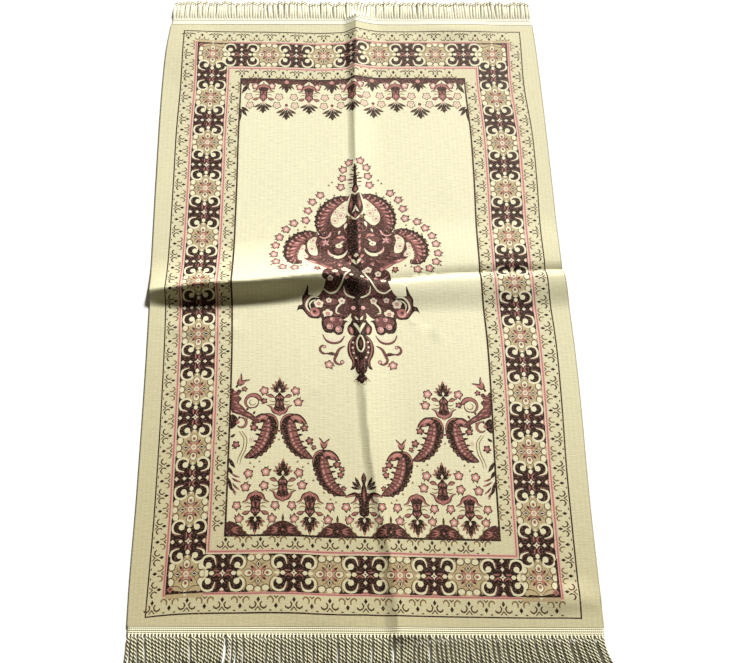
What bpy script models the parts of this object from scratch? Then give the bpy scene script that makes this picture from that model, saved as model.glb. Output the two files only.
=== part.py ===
"""A light woven prayer rug lying open on the floor, as it falls after being stored folded in four.

The rug is three pieces: the cloth, and a fringed heading at each end. The cloth is one thin sheet.
A fold crosses it from side to side and a softer crease runs down its length, and both stand up from
the floor as low, uneven ridges. Each heading is a narrow woven strip that follows the cloth's end
over the crease, with a row of cords that leave it and lie on the floor.

All sizes are in metres. X runs across the rug, Y along it towards its far end, and Z is up. The
origin is on the floor, under the middle of the rug.
"""

import math
import random
from collections import namedtuple

import bmesh
import bpy

# Cloth
CLOTH_HALF_LENGTH = 0.538
CLOTH_HALF_WIDTH = 0.344
CLOTH_THICKNESS = 0.003

# Headings and their cords
SEAM_GAP = 0.0003
HEADING_THICKNESS = 0.0028
NEAR_HEADING_DEPTH = 0.012
FAR_HEADING_DEPTH = 0.016
FRINGE_TIP = 0.595
CORDS_PER_HEADING = 136
CORD_SHORTEST = 0.84
CORD_SWAY = 0.0022
CORD_SWAY_WAVE = 0.13
CORD_SPLAY = 0.0042
CORD_SEED = 5

# The side edges wander in and out: how far each lies outside the half width, at stations along Y.
EdgeStation = namedtuple("EdgeStation", "y left right")
EDGE_STATIONS = (
    EdgeStation(y=-0.555, left=-0.007, right=0.001),
    EdgeStation(y=-0.470, left=-0.006, right=0.001),
    EdgeStation(y=-0.350, left=-0.007, right=0.001),
    EdgeStation(y=-0.165, left=-0.006, right=0.004),
    EdgeStation(y=-0.030, left=-0.004, right=0.002),
    EdgeStation(y=0.010, left=-0.003, right=-0.001),
    EdgeStation(y=0.045, left=-0.002, right=-0.004),
    EdgeStation(y=0.200, left=0.001, right=-0.004),
    EdgeStation(y=0.370, left=0.003, right=-0.005),
    EdgeStation(y=0.480, left=0.001, right=-0.007),
    EdgeStation(y=0.555, left=-0.006, right=-0.010),
)

# The fold across the rug, at stations along X: where its crest lies, how high it stands, and how far
# it runs out to its near and its far side. Left of the middle it is a tall ridge with a steep
# near side and a sharp crest. Right of the middle its roundness is 1: a low roll with a short far
# side, and past the groove at the foot of that side the far panel lifts again into a low lip.
CrossStation = namedtuple("CrossStation", "x crest height near far roundness lip")
CROSS_FOLD = (
    CrossStation(x=-0.350, crest=-0.017, height=0.014, near=0.019, far=0.060, roundness=0.0, lip=0.0),
    CrossStation(x=-0.260, crest=-0.009, height=0.021, near=0.026, far=0.080, roundness=0.0, lip=0.0),
    CrossStation(x=-0.170, crest=-0.002, height=0.023, near=0.030, far=0.088, roundness=0.0, lip=0.0),
    CrossStation(x=-0.095, crest=0.008, height=0.021, near=0.034, far=0.075, roundness=0.0, lip=0.0),
    CrossStation(x=-0.060, crest=0.014, height=0.018, near=0.036, far=0.055, roundness=0.0, lip=0.0),
    CrossStation(x=-0.020, crest=0.015, height=0.013, near=0.036, far=0.032, roundness=0.2, lip=0.0),
    CrossStation(x=0.015, crest=0.004, height=0.009, near=0.036, far=0.014, roundness=0.6, lip=0.0008),
    CrossStation(x=0.060, crest=0.000, height=0.008, near=0.048, far=0.012, roundness=1.0, lip=0.0026),
    CrossStation(x=0.150, crest=0.007, height=0.008, near=0.056, far=0.015, roundness=1.0, lip=0.0042),
    CrossStation(x=0.250, crest=0.012, height=0.008, near=0.060, far=0.015, roundness=1.0, lip=0.0044),
    CrossStation(x=0.350, crest=0.016, height=0.009, near=0.058, far=0.015, roundness=1.0, lip=0.0044),
)
GROOVE_SIDE = 0.017
LIP_LENGTH = 0.090

# The crease along the rug, at stations along Y. Its left face is short and steep.
LengthStation = namedtuple("LengthStation", "y crest height left_run right_run")
LENGTH_FOLD = (
    LengthStation(y=-0.560, crest=0.052, height=0.007, left_run=0.019, right_run=0.100),
    LengthStation(y=-0.450, crest=0.043, height=0.007, left_run=0.018, right_run=0.100),
    LengthStation(y=-0.370, crest=0.029, height=0.006, left_run=0.014, right_run=0.090),
    LengthStation(y=-0.300, crest=0.018, height=0.006, left_run=0.013, right_run=0.080),
    LengthStation(y=-0.200, crest=0.010, height=0.006, left_run=0.014, right_run=0.070),
    LengthStation(y=-0.080, crest=0.004, height=0.006, left_run=0.016, right_run=0.055),
    LengthStation(y=0.012, crest=0.001, height=0.003, left_run=0.020, right_run=0.040),
    LengthStation(y=0.080, crest=0.001, height=0.008, left_run=0.022, right_run=0.045),
    LengthStation(y=0.250, crest=0.001, height=0.008, left_run=0.013, right_run=0.050),
    LengthStation(y=0.420, crest=0.001, height=0.010, left_run=0.014, right_run=0.050),
    LengthStation(y=0.560, crest=0.007, height=0.013, left_run=0.026, right_run=0.055),
)

# Soft swells where the cloth doesn't lie quite flat: each an oval mound.
Swell = namedtuple("Swell", "x y half_x half_y height")
SWELLS = (
    Swell(x=-0.255, y=-0.075, half_x=0.085, half_y=0.024, height=0.0020),
    Swell(x=0.295, y=-0.497, half_x=0.075, half_y=0.028, height=0.0040),
    Swell(x=-0.060, y=-0.520, half_x=0.070, half_y=0.040, height=0.0020),
    Swell(x=-0.300, y=0.470, half_x=0.060, half_y=0.090, height=0.0022),
    Swell(x=0.190, y=0.530, half_x=0.090, half_y=0.035, height=0.0024),
)

# The cloth's grid: spans measured from the fold's crest, and the number of steps in each.
Span = namedtuple("Span", "start end steps")
ACROSS_SPANS = (
    Span(-CLOTH_HALF_WIDTH, -0.090, 6),
    Span(-0.090, -0.028, 4),
    Span(-0.028, 0.000, 4),
    Span(0.000, 0.060, 4),
    Span(0.060, 0.120, 2),
    Span(0.120, CLOTH_HALF_WIDTH, 6),
)
ALONG_SPANS = (
    Span(-CLOTH_HALF_LENGTH, -0.100, 7),
    Span(-0.100, -0.040, 4),
    Span(-0.040, 0.000, 8),
    Span(0.000, 0.036, 8),
    Span(0.036, 0.120, 6),
    Span(0.120, CLOTH_HALF_LENGTH, 7),
)
GRID_DRIFT_REACH = 0.25

# A cord leaves its root in the heading for two square sections: where it meets the floor, and its cut
# tip. Reach is a share of the cord's length, lift of its root's height off the floor, and sway of the
# tip's distance to the side.
CORD_ROOT_WIDTH = 0.0030
CordSection = namedtuple("CordSection", "reach width height lift sway")
CORD_SECTIONS = (
    CordSection(reach=0.45, width=0.0032, height=0.0028, lift=0.25, sway=0.30),
    CordSection(reach=1.00, width=0.0020, height=0.0020, lift=0.00, sway=1.00),
)

# Finishes: colour (linear red, green, blue) and roughness
Finish = namedtuple("Finish", "name colour roughness")
WOVEN_CREAM = Finish("woven cream pile", (0.82, 0.76, 0.47), 0.85)
NEAR_COTTON = Finish("off-white cotton cord, near end", (0.80, 0.78, 0.62), 0.80)
FAR_COTTON = Finish("off-white cotton cord, far end", (0.84, 0.82, 0.68), 0.80)


def smooth_between(stations, place, column, at):
    """Read one column of a table at a place between its stations, on a smooth curve through them."""
    at = min(max(at, getattr(stations[0], place)), getattr(stations[-1], place))
    last = len(stations) - 1
    i = 0
    while i < last - 1 and getattr(stations[i + 1], place) < at:
        i += 1
    rows = [stations[min(max(k, 0), last)] for k in (i - 1, i, i + 1, i + 2)]
    places = [getattr(row, place) for row in rows]
    values = [getattr(row, column) for row in rows]
    step = places[2] - places[1]
    leaving = (values[2] - values[0]) / (places[2] - places[0]) * step
    arriving = (values[3] - values[1]) / (places[3] - places[1]) * step
    u = (at - places[1]) / step
    return (
        (2 * u**3 - 3 * u**2 + 1) * values[1]
        + (u**3 - 2 * u**2 + u) * leaving
        + (3 * u**2 - 2 * u**3) * values[2]
        + (u**3 - u**2) * arriving
    )


def rolled(share, roll):
    """A side that leaves the crest in a small roll, then drops and eases out on the floor."""
    return 0.5 * (1 + math.cos(math.pi * min(share, 1.0) ** roll))


def slack(share):
    """A side that leaves the crest at an angle and eases out on the floor."""
    return max(1 - share, 0.0) ** 2


def round_shouldered(share):
    """A side that leaves the crest level and meets the floor at an angle."""
    return 1 - min(share, 1.0) ** 1.6


def lip_height(beyond, lip):
    """The lip past the groove: it rises over the groove's side, then sinks slowly."""
    rise = min(max(beyond / GROOVE_SIDE, 0.0), 1.0)
    fall = min(max((beyond - GROOVE_SIDE) / LIP_LENGTH, 0.0), 1.0)
    return lip * (1 - (1 - rise) ** 2) * (1 - fall**2 * (3 - 2 * fall))


def steep(share):
    """A short, almost straight side."""
    return max(1 - share, 0.0) ** 1.3


def cross_fold_height(x, y):
    crest, height, near, far, roundness, lip = (
        smooth_between(CROSS_FOLD, "x", column, x) for column in CrossStation._fields[1:]
    )
    if y < crest:
        return height * rolled((crest - y) / near, 0.8 + 0.25 * roundness)
    share = (y - crest) / far
    falling = (1 - roundness) * slack(share) + roundness * round_shouldered(share)
    return height * falling + lip_height(y - crest - far, lip)


def length_fold_height(x, y):
    crest, height, left_run, right_run = (
        smooth_between(LENGTH_FOLD, "y", column, y) for column in ("crest", "height", "left_run", "right_run")
    )
    if x < crest:
        return height * steep((crest - x) / left_run)
    return height * slack((x - crest) / right_run)


def swell_height(x, y):
    total = 0.0
    for swell in SWELLS:
        away = ((x - swell.x) / swell.half_x) ** 2 + ((y - swell.y) / swell.half_y) ** 2
        total += swell.height * max(1 - away, 0.0) ** 2
    return total


def floor_gap(x, y):
    """How far the cloth's underside stands off the floor."""
    return cross_fold_height(x, y) + length_fold_height(x, y) + swell_height(x, y)


def side_edge(y, side):
    """X of the left (-1) or right (1) side edge."""
    column = "left" if side < 0 else "right"
    return side * (CLOTH_HALF_WIDTH + smooth_between(EDGE_STATIONS, "y", column, y))


def grid_lines(spans):
    lines = [spans[0].start]
    for span in spans:
        lines += [span.start + (span.end - span.start) * k / span.steps for k in range(1, span.steps + 1)]
    return lines


def drift(line, crest):
    """A grid line near a fold moves with the fold's crest."""
    return crest * max(1 - abs(line) / GRID_DRIFT_REACH, 0.0)


def cloth_point(across, along):
    """The place on the floor of one grid point."""
    crest_y = smooth_between(CROSS_FOLD, "x", "crest", across)
    y = along + drift(along, crest_y)
    crest_x = smooth_between(LENGTH_FOLD, "y", "crest", y)
    x = across + drift(across, crest_x)
    side = -1 if x < 0 else 1
    return x * side_edge(y, side) / (side * CLOTH_HALF_WIDTH), y


def finish_of(finish):
    material = bpy.data.materials.new(finish.name)
    material.use_nodes = True
    shader = material.node_tree.nodes["Principled BSDF"]
    shader.inputs["Base Color"].default_value = (*finish.colour, 1.0)
    shader.inputs["Roughness"].default_value = finish.roughness
    shader.inputs["Metallic"].default_value = 0.0
    material.diffuse_color = (*finish.colour, 1.0)
    return material


def object_of(name, shape, finish):
    bmesh.ops.recalc_face_normals(shape, faces=shape.faces)
    mesh = bpy.data.meshes.new(name)
    shape.to_mesh(mesh)
    shape.free()
    mesh.materials.append(finish_of(finish))
    piece = bpy.data.objects.new(name, mesh)
    bpy.context.scene.collection.objects.link(piece)
    return piece


def make_cloth():
    """The woven sheet: a grid laid over the folds, then raised by the cloth's thickness."""
    across = grid_lines(ACROSS_SPANS)
    along = grid_lines(ALONG_SPANS)
    shape = bmesh.new()
    bmesh.ops.create_grid(shape, x_segments=len(across) - 1, y_segments=len(along) - 1, size=0.5)
    for vert in shape.verts:
        column = round((vert.co.x + 0.5) * (len(across) - 1))
        row = round((vert.co.y + 0.5) * (len(along) - 1))
        x, y = cloth_point(across[column], along[row])
        vert.co = (x, y, floor_gap(x, y))
    raised = bmesh.ops.extrude_face_region(shape, geom=shape.faces[:])
    top = [item for item in raised["geom"] if isinstance(item, bmesh.types.BMVert)]
    bmesh.ops.translate(shape, verts=top, vec=(0, 0, CLOTH_THICKNESS))
    return object_of("rug_cloth", shape, WOVEN_CREAM)


def upright(shape, x, y, height):
    """A low and a high vertex of the heading, one above the other."""
    low = floor_gap(x, y)
    return shape.verts.new((x, y, low)), shape.verts.new((x, y, low + height))


def grow_cord(shape, root, direction, reach, sway):
    """Draw one cord out of its root's four vertices, down to the floor and on to its cut tip."""
    middle = sum(vert.co.x for vert in root) / 4
    start = root[0].co.y
    lift = root[0].co.z
    ring = root
    for section in CORD_SECTIONS:
        x = middle + sway * section.sway
        y = start + direction * reach * section.reach
        z = lift * section.lift
        half = section.width / 2
        corners = ((-half, 0.0), (half, 0.0), (half, section.height), (-half, section.height))
        following = [shape.verts.new((x + dx, y, z + dz)) for dx, dz in corners]
        for k in range(4):
            shape.faces.new((ring[k], ring[(k + 1) % 4], following[(k + 1) % 4], following[k]))
        ring = following
    shape.faces.new(ring)


def make_fringe(name, direction, depth, finish):
    """A heading strip, direction -1 at the near end and 1 at the far end, with its row of cords."""
    draw = random.Random(CORD_SEED + direction)
    inner_y = direction * (CLOTH_HALF_LENGTH + SEAM_GAP)
    outer_y = inner_y + direction * depth
    left, right = (side_edge(outer_y, side) for side in (-1, 1))
    pitch = (right - left) / CORDS_PER_HEADING
    half_root = CORD_ROOT_WIDTH / 2
    shape = bmesh.new()

    # Pairs of vertices along the strip's inner and outer lines: a corner, the cords, a corner.
    inner = [upright(shape, left, inner_y, HEADING_THICKNESS)]
    outer = [upright(shape, left, outer_y, HEADING_THICKNESS)]
    middles = [left + (k + 0.5) * pitch for k in range(CORDS_PER_HEADING)]
    for middle in middles:
        inner.append(upright(shape, middle, inner_y, HEADING_THICKNESS))
        outer.append(upright(shape, middle - half_root, outer_y, HEADING_THICKNESS))
        outer.append(upright(shape, middle + half_root, outer_y, HEADING_THICKNESS))
    inner.append(upright(shape, right, inner_y, HEADING_THICKNESS))
    outer.append(upright(shape, right, outer_y, HEADING_THICKNESS))

    for k in range(len(inner) - 1):
        here, there = inner[k], inner[k + 1]
        # The gap between two cords, and the wedge of heading that carries each cord.
        gap_start, gap_end = outer[2 * k], outer[2 * k + 1]
        shape.faces.new((here[0], there[0], there[1], here[1]))
        shape.faces.new((gap_start[0], gap_end[0], gap_end[1], gap_start[1]))
        for level in (0, 1):
            shape.faces.new((here[level], gap_start[level], gap_end[level], there[level]))
            if k + 2 < len(inner):
                shape.faces.new((there[level], gap_end[level], outer[2 * k + 2][level]))
    for corner, edge in ((inner[0], outer[0]), (inner[-1], outer[-1])):
        shape.faces.new((corner[0], corner[1], edge[1], edge[0]))

    full_reach = FRINGE_TIP - abs(outer_y)
    for k, middle in enumerate(middles):
        low_left, high_left = outer[2 * k + 1]
        low_right, high_right = outer[2 * k + 2]
        wave = CORD_SWAY * math.sin(2 * math.pi * middle / CORD_SWAY_WAVE + direction)
        splay = CORD_SPLAY * (middle / CLOTH_HALF_WIDTH) ** 3
        reach = full_reach * (1 - (1 - CORD_SHORTEST) * draw.random())
        grow_cord(shape, (low_left, low_right, high_right, high_left), direction, reach, wave + splay)
    return object_of(name, shape, finish)


def main():
    for old in list(bpy.data.objects):
        bpy.data.objects.remove(old, do_unlink=True)
    make_cloth()
    make_fringe("fringe_near", -1, NEAR_HEADING_DEPTH, NEAR_COTTON)
    make_fringe("fringe_far", 1, FAR_HEADING_DEPTH, FAR_COTTON)


main()
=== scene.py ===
"""The looks of a light woven prayer rug that lies open after being stored folded in four.

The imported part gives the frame: metres, X across the rug, Y along it towards its far end, Z up, the
origin on the floor under the middle of the rug. The rug's pattern is drawn flat, in millimetres, motif
by motif: a drawing is a list of patches of yarn, each a closed outline of complex numbers (x + yj), and
a later patch lies over the earlier ones. The whole drawing becomes the cloth's mesh, which is then laid
over the folds. The headings, their cords and the overcast side edges are pieces of their own.
"""

from __future__ import annotations

import cmath
import logging
import math
import random
from collections import Counter
from dataclasses import dataclass, field
from enum import Enum
from typing import NamedTuple

import bpy
import numpy as np
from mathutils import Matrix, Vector
from mathutils.geometry import delaunay_2d_cdt

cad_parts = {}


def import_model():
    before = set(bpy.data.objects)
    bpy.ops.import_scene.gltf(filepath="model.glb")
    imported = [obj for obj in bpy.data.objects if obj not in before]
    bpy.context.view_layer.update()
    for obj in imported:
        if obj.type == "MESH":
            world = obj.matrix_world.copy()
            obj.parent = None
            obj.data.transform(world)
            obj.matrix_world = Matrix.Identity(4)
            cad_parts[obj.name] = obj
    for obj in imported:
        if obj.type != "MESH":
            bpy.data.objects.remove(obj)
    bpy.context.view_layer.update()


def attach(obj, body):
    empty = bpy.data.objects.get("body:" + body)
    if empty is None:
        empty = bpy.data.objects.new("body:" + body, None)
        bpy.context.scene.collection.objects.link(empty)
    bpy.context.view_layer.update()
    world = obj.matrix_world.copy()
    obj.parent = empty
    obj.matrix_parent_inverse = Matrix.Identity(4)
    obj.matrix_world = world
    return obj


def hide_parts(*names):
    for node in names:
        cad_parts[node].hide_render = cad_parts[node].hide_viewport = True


log = logging.getLogger("prayer_rug")

Outline = list[complex]

MM = 0.001  # metres in a millimetre
CURVE_STEP = 3.0  # millimetres of curve that one straight step of an outline stands for
BODY = "root"


# How the rug lies, in metres. The tables and curves are the part's own, repeated from its source, but
# the left half of the cross fold rises up to 4 mm higher here, as the photo's shade has it.


class EdgeStation(NamedTuple):
    """How far the side edges lie outside the half width at one place along the rug."""

    y: float
    left: float
    right: float


class CrossStation(NamedTuple):
    """The fold across the rug at one place from side to side.

    Where it is round, its far side is short, and the far panel lifts into a lip beyond the groove.
    """

    x: float
    crest: float
    height: float
    near_run: float
    far_run: float
    roundness: float
    lip: float


class LengthStation(NamedTuple):
    """The crease along the rug at one place along it."""

    y: float
    crest: float
    height: float
    left_run: float
    right_run: float


class Swell(NamedTuple):
    """An oval mound where the cloth doesn't lie quite flat."""

    x: float
    y: float
    half_x: float
    half_y: float
    height: float


class Wrinkle(NamedTuple):
    """A small straight ridge in the cloth, from one place to another."""

    start: tuple[float, float]
    end: tuple[float, float]
    half_width: float
    height: float


class ShiftStation(NamedTuple):
    """How far the pattern lies from its flat place at one place along the rug, in millimetres."""

    y: float
    left: float
    middle: float
    right: float


HALF_LENGTH = 0.538
HALF_WIDTH = 0.344
CLOTH_THICKNESS = 0.003

EDGE_STATIONS = tuple(EdgeStation(*row) for row in ((-0.555, -0.007, 0.001), (-0.470, -0.006, 0.001),
    (-0.350, -0.007, 0.001), (-0.165, -0.006, 0.004), (-0.030, -0.004, 0.002), (0.010, -0.003, -0.001),
    (0.045, -0.002, -0.004), (0.200, 0.001, -0.004), (0.370, 0.003, -0.005), (0.480, 0.001, -0.007),
    (0.555, -0.006, -0.010)))

CROSS_FOLD = tuple(CrossStation(*row) for row in ((-0.350, -0.013, 0.010, 0.028, 0.060, 0.0, 0.0000),
    (-0.315, -0.011, 0.017, 0.030, 0.065, 0.0, 0.0000), (-0.260, -0.006, 0.024, 0.034, 0.080, 0.0, 0.0000),
    (-0.170, 0.000, 0.025, 0.035, 0.088, 0.0, 0.0000), (-0.095, 0.009, 0.025, 0.040, 0.075, 0.0, 0.0000),
    (-0.060, 0.014, 0.022, 0.042, 0.055, 0.0, 0.0000), (-0.020, 0.015, 0.016, 0.040, 0.032, 0.2, 0.0000),
    (0.015, 0.004, 0.009, 0.036, 0.014, 0.6, 0.0008), (0.060, 0.000, 0.008, 0.048, 0.012, 1.0, 0.0026),
    (0.150, 0.007, 0.008, 0.056, 0.015, 1.0, 0.0042), (0.250, 0.012, 0.008, 0.060, 0.015, 1.0, 0.0044),
    (0.350, 0.016, 0.009, 0.058, 0.015, 1.0, 0.0044)))
GROOVE_SIDE = 0.017
LIP_LENGTH = 0.090

LENGTH_FOLD = tuple(LengthStation(*row) for row in ((-0.560, 0.052, 0.007, 0.019, 0.100),
    (-0.450, 0.043, 0.007, 0.018, 0.100), (-0.370, 0.029, 0.006, 0.014, 0.090), (-0.300, 0.018, 0.006, 0.013,
    0.080), (-0.200, 0.010, 0.006, 0.014, 0.070), (-0.080, 0.004, 0.006, 0.016, 0.055), (0.012, 0.001, 0.003,
    0.020, 0.040), (0.080, 0.001, 0.008, 0.022, 0.045), (0.250, 0.001, 0.008, 0.013, 0.050),
    (0.420, 0.001, 0.010, 0.014, 0.050), (0.560, 0.007, 0.013, 0.026, 0.055)))

SWELLS = tuple(Swell(*row) for row in ((-0.255, -0.075, 0.085, 0.024, 0.0020), (0.295, -0.497, 0.075, 0.028,
    0.0040), (-0.060, -0.520, 0.070, 0.040, 0.0020), (-0.300, 0.470, 0.060, 0.090, 0.0022),
    (0.190, 0.530, 0.090, 0.035, 0.0024)))

# Creases too small for the part's solids
WRINKLES = tuple(Wrinkle(*row) for row in (((0.070, -0.052), (0.145, -0.098), 0.007, 0.0006),
    ((-0.040, -0.150), (-0.090, -0.205), 0.012, 0.0007), ((0.140, 0.150), (0.180, 0.230), 0.014, 0.0006)))

# Along Y, towards the near end
SLACK = tuple(ShiftStation(*row) for row in ((-0.5380, -0.6, -8.1, -5.5), (-0.4645, -0.4, -8.1, -5.3),
    (-0.4170, -0.4, -8.1, -4.8), (-0.3225, 0.1, -8.1, -4.8), (-0.2260, -1.4, -8.1, -4.8), (-0.1335, 1.1, -7.7,
    -4.3), (-0.0390, 1.4, -6.7, -5.8), (0.0435, 1.5, 0.4, -1.3), (0.1390, 0.8, 2.3, 0.6), (0.2330, 1.8, 2.3,
    2.6), (0.3260, 3.8, 2.3, 3.6), (0.4230, 1.8, 2.3, 1.6), (0.4710, 1.3, 2.3, 1.1), (0.5220, 6.8, 6.8, 6.6)))

# Along X, to the right
SIDEWAYS = tuple(ShiftStation(*row) for row in ((-0.538, 0.5, 0.0, -0.3), (-0.400, 3.2, 1.5, 0.0),
    (-0.300, 3.5, 2.2, 0.5), (-0.200, 3.3, 3.0, 2.7), (-0.100, 1.9, 2.4, 3.2), (0.000, -1.0, -1.2, -0.8),
    (0.100, -0.5, -1.0, -1.8), (0.200, -0.5, 0.0, 0.5), (0.300, -1.2, -0.5, 0.7), (0.400, 0.3, -1.5, -4.5),
    (0.500, -0.5, -1.2, -2.7)))


class Lie:
    """The shape of the cloth on the floor, and where each place of the flat rug comes to lie."""

    normal_reach = 0.0012
    margin_from = 531.5
    half_length_flat = 548.0
    edge_blend_from = 290.0
    half_width_flat = 344.0
    field_half_width = 205.0
    border_middle = 259.5
    outer_line = 315.0

    def __init__(self) -> None:
        """Work out, column by column, how much of the cloth's length the folds take up."""
        self.columns = np.linspace(-360.0, 360.0, 73)
        self.rows = np.arange(-565.0, 566.0)
        x, y = np.meshgrid(self.columns, self.rows)
        slope = np.gradient(self.gap(x * MM, y * MM) / MM, axis=0)
        taken_up = np.cumsum(np.sqrt(1 + slope**2) - 1, axis=0)
        taken_up -= taken_up[len(self.rows) // 2]
        flat = y + taken_up + self.shift(SLACK, x, y)
        self.laid = np.column_stack([np.interp(self.rows, flat[:, j], self.rows) for j in range(x.shape[1])])

    @staticmethod
    def read(stations: tuple, column: str, at: np.ndarray) -> np.ndarray:
        """Read one column of a table between its stations, on a smooth curve through them.

        Args:
            stations: The table. Its first column is the place.
            column: The column to read.
            at: The places to read it at.

        Returns:
            The values there.
        """
        places = np.array([row[0] for row in stations])
        values = np.array([getattr(row, column) for row in stations])
        at = np.clip(at, places[0], places[-1])
        last = len(stations) - 1
        i = np.clip(np.searchsorted(places, at) - 1, 0, last - 1)
        before, after = np.maximum(i - 1, 0), np.minimum(i + 2, last)
        step = places[i + 1] - places[i]
        leaving = (values[i + 1] - values[before]) / (places[i + 1] - places[before]) * step
        arriving = (values[after] - values[i]) / (places[after] - places[i]) * step
        u = (at - places[i]) / step
        return ((2 * u**3 - 3 * u**2 + 1) * values[i] + (u**3 - 2 * u**2 + u) * leaving
            + (3 * u**2 - 2 * u**3) * values[i + 1] + (u**3 - u**2) * arriving)

    def cross_fold(self, x: np.ndarray, y: np.ndarray) -> np.ndarray:
        """The height of the fold across the rug.

        Args:
            x: Places from side to side.
            y: Places along the rug.

        Returns:
            The heights there.
        """
        crest, height, near_run, far_run, roundness, lip = (self.read(CROSS_FOLD, column, x)
            for column in CrossStation._fields[1:])
        near = np.clip((crest - y) / near_run, 0, 1)
        far = np.clip((y - crest) / far_run, 0, 1)
        rolled = 0.5 * (1 + np.cos(np.pi * near ** (0.8 + 0.25 * roundness)))
        falling = (1 - roundness) * (1 - far) ** 2 + roundness * (1 - far**1.6)
        beyond = y - crest - far_run
        rise = np.clip(beyond / GROOVE_SIDE, 0, 1)
        fall = np.clip((beyond - GROOVE_SIDE) / LIP_LENGTH, 0, 1)
        lifted = lip * (1 - (1 - rise) ** 2) * (1 - fall**2 * (3 - 2 * fall))
        return height * np.where(y < crest, rolled, falling) + lifted

    def length_fold(self, x: np.ndarray, y: np.ndarray) -> np.ndarray:
        """The height of the crease along the rug.

        Args:
            x: Places from side to side.
            y: Places along the rug.

        Returns:
            The heights there.
        """
        crest, height, left_run, right_run = (self.read(LENGTH_FOLD, column, y) for column in ("crest",
            "height", "left_run", "right_run"))
        left = np.clip((crest - x) / left_run, 0, 1)
        right = np.clip((x - crest) / right_run, 0, 1)
        return height * np.where(x < crest, (1 - left) ** 1.3, (1 - right) ** 2)

    def gap(self, x: np.ndarray, y: np.ndarray) -> np.ndarray:
        """How far the cloth's underside stands off the floor.

        Args:
            x: Places from side to side.
            y: Places along the rug.

        Returns:
            The gaps there.
        """
        total = self.cross_fold(x, y) + self.length_fold(x, y)
        for swell in SWELLS:
            away = ((x - swell.x) / swell.half_x) ** 2 + ((y - swell.y) / swell.half_y) ** 2
            total = total + swell.height * np.maximum(1 - away, 0) ** 2
        for wrinkle in WRINKLES:
            start, way = np.array(wrinkle.start), np.array(wrinkle.end) - np.array(wrinkle.start)
            length = np.hypot(*way)
            share = ((x - start[0]) * way[0] + (y - start[1]) * way[1]) / length**2
            aside = ((x - start[0]) * way[1] - (y - start[1]) * way[0]) / length / wrinkle.half_width
            fade = np.maximum(1 - (2 * share - 1) ** 2, 0) ** 2 * np.maximum(1 - aside**2, 0) ** 2
            total = total + wrinkle.height * fade
        return total

    def normals(self, x: np.ndarray, y: np.ndarray) -> np.ndarray:
        """The direction that the cloth's face looks in.

        Args:
            x: Places from side to side.
            y: Places along the rug.

        Returns:
            A unit vector for each place.
        """
        reach = self.normal_reach
        across = (self.gap(x + reach, y) - self.gap(x - reach, y)) / (2 * reach)
        along = (self.gap(x, y + reach) - self.gap(x, y - reach)) / (2 * reach)
        up = np.stack([-across, -along, np.ones_like(across)], axis=-1)
        return up / np.linalg.norm(up, axis=-1, keepdims=True)

    def side_edge(self, y: np.ndarray, side: int) -> np.ndarray:
        """X of the left (-1) or right (1) side edge."""
        return side * (HALF_WIDTH + self.read(EDGE_STATIONS, "left" if side < 0 else "right", y))

    def shift(self, stations: tuple, x: np.ndarray, y: np.ndarray) -> np.ndarray:
        """Read a table of shifts, evenly between its left, middle and right.

        Args:
            stations: The table.
            x: Places from side to side, in millimetres.
            y: Places along the rug, in millimetres.

        Returns:
            The shifts there, in millimetres.
        """
        left, middle, right = (self.read(stations, column, y * MM) for column in ("left", "middle", "right"))
        side = np.clip(x / self.border_middle, -1.25, 1.25)
        return np.where(side < 0, middle + (middle - left) * side, middle + (right - middle) * side)

    def place(self, u: np.ndarray, v: np.ndarray) -> tuple[np.ndarray, np.ndarray]:
        """Carry places of the flat rug to where they lie.

        Args:
            u: Places from side to side on the flat rug, in millimetres.
            v: Places along the flat rug, in millimetres.

        Returns:
            X and Y of each, in metres.
        """
        inner = np.clip(v, -self.margin_from, self.margin_from)
        column = np.clip((u - self.columns[0]) / (self.columns[1] - self.columns[0]), 0,
            len(self.columns) - 1.001)
        row = inner - self.rows[0]
        i, j = row.astype(int), column.astype(int)
        a, b = row - i, column - j
        y = ((1 - a) * ((1 - b) * self.laid[i, j] + b * self.laid[i, j + 1])
            + a * ((1 - b) * self.laid[i + 1, j] + b * self.laid[i + 1, j + 1]))
        # The plain margin takes up what is left, so that the cloth ends on a straight line.
        margin = np.clip((np.abs(v) - self.margin_from) / (self.half_length_flat - self.margin_from), 0, 1)
        y = (1 - margin) * y + margin * np.sign(v) * HALF_LENGTH / MM
        side = np.sign(u)
        offset = np.where(u < 0, -HALF_WIDTH - self.side_edge(y * MM, -1), self.side_edge(y * MM,
            1) - HALF_WIDTH)
        blend = np.clip((np.abs(u) - self.edge_blend_from) / (self.half_width_flat - self.edge_blend_from), 0,
            1)
        drift = (0.5 - 0.008 * v) * np.clip(1 - np.abs(u) / self.field_half_width, 0, 1)
        fade = np.clip((self.half_width_flat - np.abs(u)) / (self.half_width_flat - self.outer_line), 0, 1)
        return (u + drift + fade * self.shift(SIDEWAYS, u, y)) * MM + side * offset * blend**2, y * MM


# --- Drawing tools. A motif is a drawing about its own origin, in millimetres. ---


class Yarn(Enum):
    """The weft yarns that draw the pattern, by the dye of each."""

    MARGIN = "#ded8b3"
    CREAM = "#ece7c4"
    IVORY = "#ecdfc4"
    SAND = "#c6b38c"
    PINK = "#e6b0a8"
    BLUSH = "#cb928a"
    ROSE = "#ae716b"
    MAUVE = "#6d4341"
    TAN = "#856f4c"
    OLIVE = "#4b3b25"
    PLUM = "#432523"
    BURGUNDY = "#1d0e0a"
    REVERSE = "#cbbd95"


MARGIN, CREAM, IVORY, SAND, PINK, BLUSH, ROSE, MAUVE, TAN, OLIVE, PLUM, BURGUNDY, REVERSE = Yarn


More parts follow.
